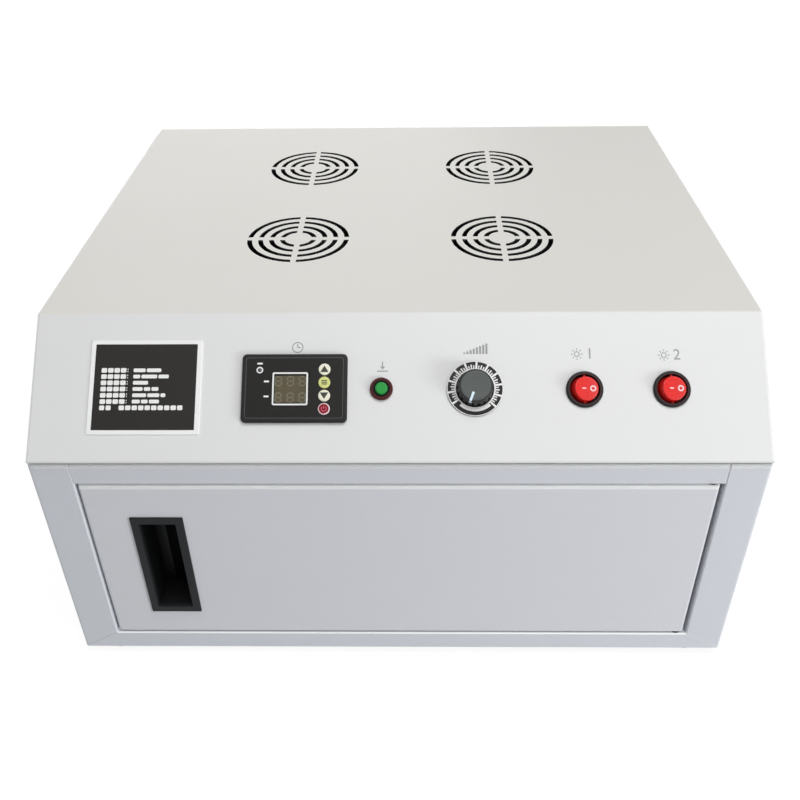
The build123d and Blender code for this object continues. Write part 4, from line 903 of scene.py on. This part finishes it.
# Label: black field inside the plate's white border, with rows of plain blocks
FIELD_INSET = 2.75
FIELD_CORNER = 0.4
ROW_PITCH = 4.03
ROW_FIRST = 10.7
BLOCK_HEIGHT = 3.0
BLOCK_CORNER = 0.7
CAPTION_LEFT = -28.0
CAPTION_BLOCK = 3.5
CAPTION_PITCH = 4.1
CAPTION_COUNT = 4
COLON_X = -11.2
COLON_RISE = 0.75
COLON_RADIUS = 0.35
VALUE_LEFT = -7.6
VALUE_GAP = 0.8
VALUE_HEIGHT = BLOCK_HEIGHT * 0.8
VALUE_ROWS = ((7.6, 9.2), (4.4, 10.0, 6.6), (9.6,), (6.4, 4.0, 4.4), (8.8, 7.6, 3.0), (5.0, 4.2, 6.4))
LAST_ROW_BLOCKS = (3.2, 3.2, 0.0, 3.4, 3.4, 3.4, 3.4, 3.4, 3.4, 3.4, 3.4, 3.4, 3.4)


def label_outlines():
    """Rows of blocks: four short ones, a pair of points, then longer ones."""
    outlines = []
    for row, values in enumerate(VALUE_ROWS):
        y = ROW_FIRST - row * ROW_PITCH
        for block in range(CAPTION_COUNT):
            x = CAPTION_LEFT + block * CAPTION_PITCH + CAPTION_BLOCK / 2
            outlines.append(rectangle(CAPTION_BLOCK, BLOCK_HEIGHT, x, y, BLOCK_CORNER))
        for side in (1, -1):
            outlines.append(circle(COLON_RADIUS, COLON_X, y + side * COLON_RISE, steps=12))
        left = VALUE_LEFT
        for width in values:
            outlines.append(rectangle(width, VALUE_HEIGHT, left + width / 2, y, BLOCK_CORNER))
            left += width + VALUE_GAP
    left = CAPTION_LEFT
    y = ROW_FIRST - len(VALUE_ROWS) * ROW_PITCH
    for width in LAST_ROW_BLOCKS:
        if width:
            outlines.append(rectangle(width, BLOCK_HEIGHT, left + width / 2, y, BLOCK_CORNER))
        left += CAPTION_PITCH
    return outlines


def make_label():
    """The label's black field and the rows printed on it."""
    low, high = panel_box("label_plate")
    x, rise, lift = panel_centre("label_plate")
    field = (high.x - low.x - 2 * FIELD_INSET, high.y - low.y - 2 * FIELD_INSET)
    sheet = [rectangle(*field, 0.0, 0.0, FIELD_CORNER)]
    rows = label_outlines()
    on_plate = panel_at(x, rise, lift)
    on_field = panel_at(x, rise, lift + FILM)
    cut_sheet("label_field", sheet, FILM, on_plate, black_film, "cabinet")
    cut_sheet("label_rows", rows, INK, on_field, white_ink, "cabinet")


make_label()


# Timer: face film, window frame, display digits, marks and lamp, in millimetres
FACE_INSET = 2.0
FACE_CORNER = 1.8
WINDOW_CORNER = 0.6
FRAME_LINE = 1.0
FRAME_SIDE = 1.1
FRAME_END = 0.1
FRAME_CORNERS = (1.2, 0.5)
DISPLAY_GAP = 0.5
# Inset, width and corners of the painted highlight line along the face's edge
EDGE_INSET = 1.0
EDGE_LINE = 0.25
EDGE_CORNERS = (1.6, 1.4)
DIGIT_WIDTH = 4.4
DIGIT_HEIGHT = 6.5
DIGIT_PITCH = 7.5
DIGIT_ROWS = (5.1, -5.4)
SEGMENT = 0.75
SEGMENT_CORNER = 0.2
LAMP_OFFSET = (-21.9, 11.4)
LAMP_RING = (2.1, 1.35)
LAMP_PROFILE = [(1.3, 0.0), (1.3, 0.12), (1.1, 0.3), (0.6, 0.45), (0.0, 0.5)]
SMALL_MARKS = ((-21.9, 15.6, 3.4), (-17.5, 4.1, 3.2), (-17.5, -5.5, 3.2))
MARK_HEIGHT = 1.1
MARK_CORNER = 0.3
KEYS = ("key_up", "key_set", "key_down", "key_power")


def segment_outlines(x, y):
    """Seven unlit segments of one digit."""
    half_width = (DIGIT_WIDTH - SEGMENT) / 2
    half_height = (DIGIT_HEIGHT - SEGMENT) / 2
    bar = DIGIT_WIDTH - 2 * SEGMENT
    post = half_height - SEGMENT
    outlines = [
        rectangle(bar, SEGMENT, x, y + level * half_height, SEGMENT_CORNER, 3) for level in (-1, 0, 1)
    ]
    for side in (-1, 1):
        for level in (-1, 1):
            centre = (x + side * half_width, y + level * half_height / 2)
            outlines.append(rectangle(SEGMENT, post, *centre, SEGMENT_CORNER, 3))
    return outlines


def digit_outlines():
    """Three columns of digits, in two rows."""
    outlines = []
    for column in (-1, 0, 1):
        for level in DIGIT_ROWS:
            outlines += segment_outlines(column * DIGIT_PITCH, level)
    return outlines


def outlined(size, line, corners):
    """Outer and inner outline of a frame whose line has one width all round."""
    inner = (size[0] - 2 * line, size[1] - 2 * line)
    return [rectangle(*size, 0.0, 0.0, corners[0]), rectangle(*inner, 0.0, 0.0, corners[1])]


def timer_sheet(name, outlines, thickness, place, finish):
    """A sheet of the timer at a place of the panel."""
    cut_sheet(name, outlines, thickness, panel_at(*place), finish, "cabinet")


def timer_face_size():
    """Width and height of the film on the timer's face."""
    low, high = panel_box("timer_case")
    return high.x - low.x - 2 * FACE_INSET, high.y - low.y - 2 * FACE_INSET


def make_timer_face():
    """The film on the timer's face, open at its window and its keys."""
    x, rise, lift = panel_centre("timer_case")
    low, high = panel_box("timer_window")
    window_x, window_rise = panel_centre("timer_window")[:2]
    aside = (window_x - x, window_rise - rise)
    outlines = [rectangle(*timer_face_size(), 0.0, 0.0, FACE_CORNER)]
    outlines.append(rectangle(high.x - low.x, high.y - low.y, *aside, WINDOW_CORNER))
    low, high = panel_box("key_up")
    key_radius = (high.x - low.x) / 2
    for key in KEYS:
        key_x, key_rise = panel_centre(key)[:2]
        outlines.append(circle(key_radius, key_x - x, key_rise - rise))
    timer_sheet("timer_face", outlines, FILM, (x, rise, lift), timer_film)


def make_display():
    """White frame on the window, and behind it the display with its unlit digits."""
    low, high = panel_box("timer_window")
    x, rise, lift = panel_centre("timer_window")
    board_top = panel_box("timer_board")[1].z
    size = (high.x - low.x - 2 * FRAME_SIDE, high.y - low.y - 2 * FRAME_END)
    display = [side - 2 * FRAME_LINE - 2 * DISPLAY_GAP for side in size]
    lines = outlined(size, FRAME_LINE, FRAME_CORNERS)
    on_board = (x, rise, board_top)
    on_display = (x, rise, board_top + FILM)
    timer_sheet("timer_window_frame", lines, INK, (x, rise, lift), white_ink)
    timer_sheet("timer_display", [rectangle(*display)], FILM, on_board, display_face)
    timer_sheet("timer_digits", digit_outlines(), INK, on_display, segment_ink)


def make_timer_marks():
    """Small marks, the lamp and its ring, and a painted highlight line along the face's edge."""
    x, rise, lift = panel_centre("timer_case")
    on_film = (x, rise, lift + FILM)
    marks = [rectangle(width, MARK_HEIGHT, a, b, MARK_CORNER) for a, b, width in SMALL_MARKS]
    marks += [circle(radius, *LAMP_OFFSET, steps=40) for radius in LAMP_RING]
    timer_sheet("timer_marks", marks, INK, on_film, white_ink)
    lens = turned_mesh("timer_lamp", LAMP_PROFILE, steps=32)
    place = panel_at(x + LAMP_OFFSET[0], rise + LAMP_OFFSET[1], lift + FILM)
    put("timer_lamp", lens, place, knob_top, "cabinet")
    edge = [side - EDGE_INSET for side in timer_face_size()]
    timer_sheet("timer_edge_highlight", outlined(edge, EDGE_LINE, EDGE_CORNERS), INK, on_film, edge_highlight_ink)


make_timer_face()
make_display()
make_timer_marks()


# Key prints: a triangle up, three bars, a triangle down, a standby mark on its disc
TRIANGLE = [(-2.6, -1.9), (2.6, -1.9), (0.0, 2.3)]
BAR_SIZE = (3.6, 0.6)
BAR_LEVELS = (-1.1, 0.0, 1.1)
BAR_CORNER = 0.2
STANDBY = [arc_band(1.35, 1.75, 130, 410), rectangle(0.45, 1.9, 0.0, 0.95, 0.2)]
DISC_RADIUS = 3.05


def make_key_symbols():
    """The prints on the four keys."""
    flipped = [(x, -y) for x, y in TRIANGLE]
    bars = [rectangle(*BAR_SIZE, 0.0, level, BAR_CORNER) for level in BAR_LEVELS]
    symbols = (
        ("key_up", "up_key", [TRIANGLE], dark_ink, 0.0),
        ("key_set", "set_key", bars, dark_ink, 0.0),
        ("key_down", "down_key", [flipped], dark_ink, 0.0),
        ("key_power", "power_key", STANDBY, faded_rose, INK),
    )
    place = panel_at(*panel_centre("key_power"))
    cut_sheet("key_power_disc", [circle(DISC_RADIUS)], INK, place, crimson_ink, "power_key")
    for node, body, outlines, ink, base in symbols:
        x, rise, lift = panel_centre(node)
        place = panel_at(x, rise, lift + base)
        cut_sheet(node + "_symbol", outlines, INK, place, ink, body)


make_key_symbols()


# Dial: white scale with eleven long marks, and the knob's top and pointer
SCALE_TURN = -4.0
SCALE_SPAN = 257.0
SCALE_LONG = 11
SCALE_PARTS = 4
RING_INNER = 12.1
RING_OUTER = 12.85
RING_STEPS = 128
RING_INK = INK * 0.9
BAR_START = RING_OUTER - 0.1
LONG_BAR = (17.2, 1.25)
HALF_BAR = (15.4, 0.85)
SHORT_BAR = (14.9, 0.7)
EDGE_INSETS = (0.03, 0.5)
BAND_RADII = (RING_OUTER + 0.1, 14.75)
BAND_ANGLES = (228, 312)
KNOB_RIM = 1.9
POINTER_TURN = -110
POINTER_START = 4.3
POINTER_END = 1.0
POINTER_WIDTH = 1.5
POINTER_THICKNESS = 0.6
POINTER_FLOOR = -0.3
POINTER_EASE = 0.1
FLANK_THICKNESS = 0.5
FLANK_HEIGHT = 3.4
FLANK_INSET = 0.68
FLANK_FLOOR = -4.0


def scale_bars():
    """Bars around the dial: long ones, half ones between them, short ones in the quarters."""
    bars = []
    steps = (SCALE_LONG - 1) * SCALE_PARTS
    for step in range(steps + 1):
        angle = 90 + SCALE_TURN + SCALE_SPAN * (0.5 - step / steps)
        reach, width = SHORT_BAR
        if step % SCALE_PARTS == 0:
            reach, width = LONG_BAR
        elif step % (SCALE_PARTS // 2) == 0:
            reach, width = HALF_BAR
        bars.append(spoke(BAR_START, reach, width, angle))
    return bars


def make_dial_scale():
    """Bars, inner ring, outer edge and a plain band in the scale's gap."""
    low, high = panel_box("dial_plate")
    radius = (high.x - low.x) / 2
    rings = [circle(RING_OUTER, steps=RING_STEPS), circle(RING_INNER, steps=RING_STEPS)]
    edge = [circle(radius - inset, steps=RING_STEPS) for inset in EDGE_INSETS]
    meshes = [sheet_mesh("bars", [bar], INK) for bar in scale_bars()]
    meshes.append(sheet_mesh("rings", rings, RING_INK))
    meshes.append(sheet_mesh("edge", edge, INK))
    meshes.append(sheet_mesh("band", [arc_band(*BAND_RADII, *BAND_ANGLES)], INK))
    place = panel_at(*panel_centre("dial_plate"))
    put("dial_scale", joined("dial_scale", meshes), place, white_ink, "cabinet")


def make_knob_top():
    """The knob's grey top, and a pointer that runs over its edge and down its flank."""
    low, high = panel_box("dimmer_knob")
    x, rise = panel_centre("dial_plate")[:2]
    place = panel_at(x, rise, high.z)
    radius = (high.x - low.x) / 2
    flat = radius - KNOB_RIM
    profile = [(0.0, 0.1), (flat - 1.6, 0.12), (flat - 0.5, 0.2), (flat, 0.12), (flat, 0.0)]
    put("knob_face", turned_mesh("knob_face", profile), place, knob_top, "dimmer")
    reach = radius - POINTER_END - POINTER_START
    bar = sheet_mesh("bar", [rectangle(reach, POINTER_WIDTH)], POINTER_THICKNESS)
    flank = sheet_mesh("flank", [rectangle(FLANK_THICKNESS, POINTER_WIDTH)], FLANK_HEIGHT)
    moved(bar, POINTER_START + reach / 2, 0.0, POINTER_FLOOR)
    moved(flank, radius - FLANK_INSET, 0.0, FLANK_FLOOR)
    turned = place @ Matrix.Rotation(radians(POINTER_TURN), 4, "Z")
    pointer = joined("knob_pointer", [bar, flank])
    piece = put("knob_pointer", pointer, turned, pointer_ink, "dimmer")
    ease(piece, POINTER_EASE)


make_dial_scale()
make_knob_top()


# Trigger: painted shade, a dark ring in the well between its cap and ring
WELL_SHADE_RADIUS = 5.4
WELL_GAP = 0.15


def make_trigger_well():
    """A dark ring around the cap: painted shade in the well."""
    low, high = panel_box("trigger_cap")
    rings = [circle(WELL_SHADE_RADIUS), circle((high.x - low.x) / 2 + WELL_GAP)]
    place = panel_at(*panel_centre("trigger_bezel"))
    cut_sheet("trigger_well_shade", rings, INK, place, well_shade_ink, "cabinet")


make_trigger_well()


# Rockers: line and ring marks on the dished faces, and a brown ring around each mouth, a painted
# highlight on the bezel's inner lip
ROCKER_TILT = 12.0
DISH_FLOOR = 3.94
DISH_MIDDLE = -2.07
DISH_RADIUS = 34.0
MARK_LIFT = 0.03
ROCKER_MARKS = (
    ("line", -1.8, [rectangle(2.6, 0.75, corner=0.3)]),
    ("ring", 3.9, [circle(1.9, steps=48), circle(1.05, steps=48)]),
)
MOUTH_HIGHLIGHT_RING = [circle(10.1), circle(9.55)]


def make_rocker_marks(number, body, joint):
    """A line on the raised side and a ring on the pressed one, laid on the dish."""
    pivot = to_panel @ Vector(joints[joint]["pos_m"]) / MM
    tilt = panel_at(pivot.x, pivot.y, 0.0) @ Matrix.Rotation(radians(ROCKER_TILT), 4, "Y")
    for label, across, outlines in ROCKER_MARKS:
        away = across - DISH_MIDDLE
        height = DISH_FLOOR + away * away / (2 * DISH_RADIUS) + MARK_LIFT
        lean = Matrix.Rotation(-atan2(away, DISH_RADIUS), 4, "Y")
        place = tilt @ Matrix.Translation((across * MM, 0.0, height * MM)) @ lean
        cut_sheet(f"rocker_{number}_{label}", outlines, INK, place, rose_ink, body)
    # A brown ring as a painted highlight on the mouth's inner lip
    mouth = f"switch_mouth_highlight_{number}"
    place = panel_at(*panel_centre(f"switch_housing_{number}"))
    cut_sheet(mouth, MOUTH_HIGHLIGHT_RING, INK, place, mouth_highlight_ink, "cabinet")


make_rocker_marks(1, "left_rocker", "left_rocker_tilt")
make_rocker_marks(2, "right_rocker", "right_rocker_tilt")


# Grey pictograms over the controls, printed on the slope: outlines and places in millimetres
RAMP_BARS = 8
FIGURE_HEIGHT = 7.0
FIGURE_ASIDE = 4.6
LAMP_ASIDE = -3.5
LAMP_SIGNS = ((1, 116.6, 69.4), (2, 171.2, 68.6))


def clock_sign():
    """A clock: a ring and two hands."""
    return [
        circle(3.6),
        circle(3.0),
        spoke(0.0, 2.4, 0.6, 90),
        spoke(0.0, 1.8, 0.6, 0),
    ]


def press_sign():
    """An arrow that points down to a bar."""
    return [
        spoke(0.0, 3.2, 0.7, 90, 0.0, -0.4),
        [(-1.6, -0.4), (1.6, -0.4), (0.0, -2.4)],
        rectangle(7.0, 0.7, 0.0, -3.4),
    ]


def ramp_sign():
    """A row of bars that rises to the right."""
    outlines = []
    for step in range(RAMP_BARS):
        height = 0.9 + 0.85 * step
        outlines.append(rectangle(1.3, height, -7.0 + 2.0 * step, height / 2 - 3.0))
    return outlines


def lamp_sign(x):
    """A lamp: a ring with eight rays."""
    rays = [spoke(2.5, 3.7, 0.55, 45 * ray, x, 0.0) for ray in range(8)]
    return [circle(1.8, x, steps=32), circle(1.25, x, steps=32), *rays]


def print_sign(name, outlines, x, rise, extra=()):
    """A pictogram and what stands beside it, as one print on the slope."""
    meshes = [sheet_mesh("sign", outlines, INK), *extra]
    put(name, joined(name, meshes), panel_at(x, rise, 0.0), grey_ink, "cabinet")


print_sign("sign_timer", clock_sign(), -63.5, 74.2)
print_sign("sign_trigger", press_sign(), -9.5, 62.0)
print_sign("sign_dimmer", ramp_sign(), 49.2, 72.6)
for number, x, rise in LAMP_SIGNS:
    figure = moved(numeral_mesh("figure", str(number), FIGURE_HEIGHT, INK), FIGURE_ASIDE, 0.0, 0.0)
    print_sign(f"sign_lamp_{number}", lamp_sign(LAMP_ASIDE), x, rise, [figure])


# Pull: painted shadow, a dark strip down its back wall
SHADOW_WIDTH = 7.0
SHADOW_CORNER = 1.5
PULL_WALL = 1.3
PULL_FRAME = 9.0


def make_pull_slot():
    """A dark sheet on the pull's back wall: painted shadow behind the grip."""
    low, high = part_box("door_pull")
    height = (high.z - low.z) / MM - 2 * PULL_FRAME
    place = Vector(((low.x + high.x) / 2, high.y - PULL_WALL * MM, (low.z + high.z) / 2))
    matrix = Matrix.Translation(place) @ Matrix.Rotation(pi / 2, 4, "X")
    slot = [rectangle(SHADOW_WIDTH, height, corner=SHADOW_CORNER)]
    cut_sheet("pull_shadow", slot, FILM, matrix, shadow_black, "door")


make_pull_slot()


# Lamp heads, each under a fan: a grid of dies on each emitter array
LAMP_HEADS = (1, 2, 3, 4)
DIE_COUNT = 8
DIE_PITCH = 4.5
DIE_SIZE = 2.7
DIE_CORNER = 0.2
DIE_HEIGHT = 0.2
DIE_TOP = 0.4


def die_outlines(x, y):
    """A square grid of dies around a point."""
    offsets = [(step - (DIE_COUNT - 1) / 2) * DIE_PITCH for step in range(DIE_COUNT)]
    return [
        rectangle(DIE_SIZE, DIE_SIZE, x + across, y + along, DIE_CORNER, 2)
        for along in offsets
        for across in offsets
    ]


def make_dies():
    """The dies of all the lamp heads, as one piece."""
    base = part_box("led_arrays")[0].z / MM + DIE_TOP - DIE_HEIGHT
    meshes = []
    for number in LAMP_HEADS:
        low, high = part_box(f"fan_frame_{number}")
        centre = (low + high) / 2 / MM
        dies = sheet_mesh("dies", die_outlines(centre.x, centre.y), DIE_HEIGHT)
        meshes.append(moved(dies, 0.0, 0.0, base))
    put("emitter_dies", joined("emitter_dies", meshes), Matrix(), die_gold, "cabinet")


make_dies()


# Fans: a plain badge on each hub
BADGE_PROFILE = [(0.0, 0.12), (12.4, 0.12), (12.7, 0.0)]


def make_badges():
    """The badges, each turning with its fan."""
    for number in LAMP_HEADS:
        low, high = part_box(f"fan_rotor_{number}")
        centre = (low + high) / 2
        badge = turned_mesh("badge", BADGE_PROFILE, steps=64)
        matrix = Matrix.Translation((centre.x, centre.y, high.z))
        put(f"fan_badge_{number}", badge, matrix, badge_film, f"fan_wheel_{number}")


make_badges()


# Mains inlet: nickel sleeves over the three blades
BLADE_SIZE = (2.12, 4.12)
BLADE_CORNER = 0.4
BLADE_PITCH = 7.0
BLADE_LENGTH = 13.0
BLADE_SINK = 5.9
BLADE_EASE = 0.25


def make_blades():
    """Three blades along Y, their tips behind the inlet's mouth."""
    low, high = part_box("power_inlet")
    centre = (low + high) / 2
    outlines = [
        rectangle(*BLADE_SIZE, side * BLADE_PITCH, 0.0, BLADE_CORNER) for side in (-1, 0, 1)
    ]
    mesh = sheet_mesh("inlet_blades", outlines, BLADE_LENGTH)
    root = Vector((centre.x, high.y - (BLADE_SINK + BLADE_LENGTH) * MM, centre.z))
    matrix = Matrix.Translation(root) @ Matrix.Rotation(-pi / 2, 4, "X")
    piece = put("inlet_blades", mesh, matrix, blade_metal, "cabinet")
    ease(piece, BLADE_EASE)


make_blades()


# Floor, world and lamps, in metres and watts
FLOOR_HALF = 7.0
FLOOR_DROP = 0.0001
FLOOR_GLOW = 1.14
FLOOR_PAPER = 0.92
FLOOR_BOUNCE = 0.5
NEAR_FLOOR = 0.6
FLOOR_FADE = 0.25
NEAR_GLOW = 0.78
WORLD_FILL = 0.18
PLAIN = (1.0, 1.0, 1.0)
COOL = (0.97, 0.985, 1.0)
SKY = (0.96, 0.98, 1.0)


def grey(level):
    """An even grey as four numbers."""
    return (level, level, level, 1.0)


def make_floor():
    """A white floor that keeps the object's shadow and glows more with distance."""
    floor = bpy.data.meshes.new("floor")
    corners = [(-1, -1), (1, -1), (1, 1), (-1, 1)]
    points = [(a * FLOOR_HALF, b * FLOOR_HALF, 0) for a, b in corners]
    floor.from_pydata(points, [], [(0, 1, 2, 3)])
    piece = bpy.data.objects.new("floor", floor)
    bpy.context.scene.collection.objects.link(piece)
    piece.location.z = -FLOOR_DROP
    look = Finish("floor_white")
    camera_ray = look.node("LightPath", output="Is Camera Ray")
    glossy_ray = look.node("LightPath", output="Is Glossy Ray")
    seen = camera_ray.most(glossy_ray)
    paper = look.node("BsdfDiffuse", {}, {"Color": grey(FLOOR_PAPER)})
    dull = look.node("BsdfDiffuse", {}, {"Color": grey(FLOOR_BOUNCE)})
    glow = look.node("Emission", {}, {"Color": grey(1.0), "Strength": FLOOR_GLOW})
    x, y = look.axes()[:2]
    away = ((x * x + y * y - NEAR_FLOOR) * FLOOR_FADE).clamped()
    share = away * (1.0 - NEAR_GLOW) + NEAR_GLOW
    white = look.node("MixShader", {}, {0: share, 1: paper, 2: glow})
    both = look.node("MixShader", {}, {0: seen, 1: dull, 2: white})
    look.tree.links.new(both.socket, look.end.inputs["Surface"])
    floor.materials.append(look.material)


def make_world():
    """White where the camera or a reflection looks, and a plain soft fill elsewhere."""
    world = bpy.data.worlds.new("studio")
    bpy.context.scene.world = world
    world.use_nodes = True
    tree = world.node_tree
    tree.nodes.clear()
    end = tree.nodes.new("ShaderNodeOutputWorld")
    seen = tree.nodes.new("ShaderNodeLightPath")
    fill = tree.nodes.new("ShaderNodeBackground")
    fill.inputs["Color"].default_value = opaque(COOL)
    fill.inputs["Strength"].default_value = WORLD_FILL
    white = tree.nodes.new("ShaderNodeBackground")
    white.inputs["Color"].default_value = grey(1.0)
    mix = tree.nodes.new("ShaderNodeMixShader")
    total = seen.outputs["Is Camera Ray"]
    for ray in ("Is Transmission Ray", "Is Glossy Ray"):
        most = tree.nodes.new("ShaderNodeMath")
        most.operation = "MAXIMUM"
        tree.links.new(total, most.inputs[0])
        tree.links.new(seen.outputs[ray], most.inputs[1])
        total = most.outputs[0]
    tree.links.new(total, mix.inputs[0])
    tree.links.new(fill.outputs[0], mix.inputs[1])
    tree.links.new(white.outputs[0], mix.inputs[2])
    tree.links.new(mix.outputs[0], end.inputs["Surface"])


def make_light(name, place, target, size, power, colour):
    """A soft rectangular lamp that points at a target."""
    lamp = bpy.data.lights.new(name, "AREA")
    lamp.shape = "RECTANGLE"
    lamp.size, lamp.size_y = size
    lamp.energy = power
    lamp.color = colour
    piece = bpy.data.objects.new(name, lamp)
    bpy.context.scene.collection.objects.link(piece)
    piece.location = place
    aim = Vector(target) - Vector(place)
    piece.rotation_mode = "QUATERNION"
    piece.rotation_quaternion = aim.to_track_quat("-Z", "Y")
    piece.visible_camera = False


make_floor()
make_world()
middle = ((cad_low + cad_high) / 2)[:]
make_light("high_front", (0.4, -0.55, 2.3), middle, (1.2, 1.2), 27.0, PLAIN)
make_light("low_right", (1.45, -1.2, 0.24), (0.0, -0.21, 0.08), (0.7, 0.4), 12.0, COOL)
make_light("low_front", (0.9, -2.2, 0.4), (0.1, -0.21, 0.09), (0.8, 0.5), 2.0, PLAIN)
make_light("front_high", (1.3, -1.5, 1.3), (0.1, -0.2, 0.15), (0.9, 0.6), 6.0, PLAIN)
make_light("side_left", (-2.1, 0.15, 0.4), middle, (1.2, 0.8), 10.0, SKY)
make_light("back_fill", (-0.5, 2.3, 0.45), middle, (1.6, 0.8), 15.0, PLAIN)

bpy.context.scene.view_settings.view_transform = "Standard"
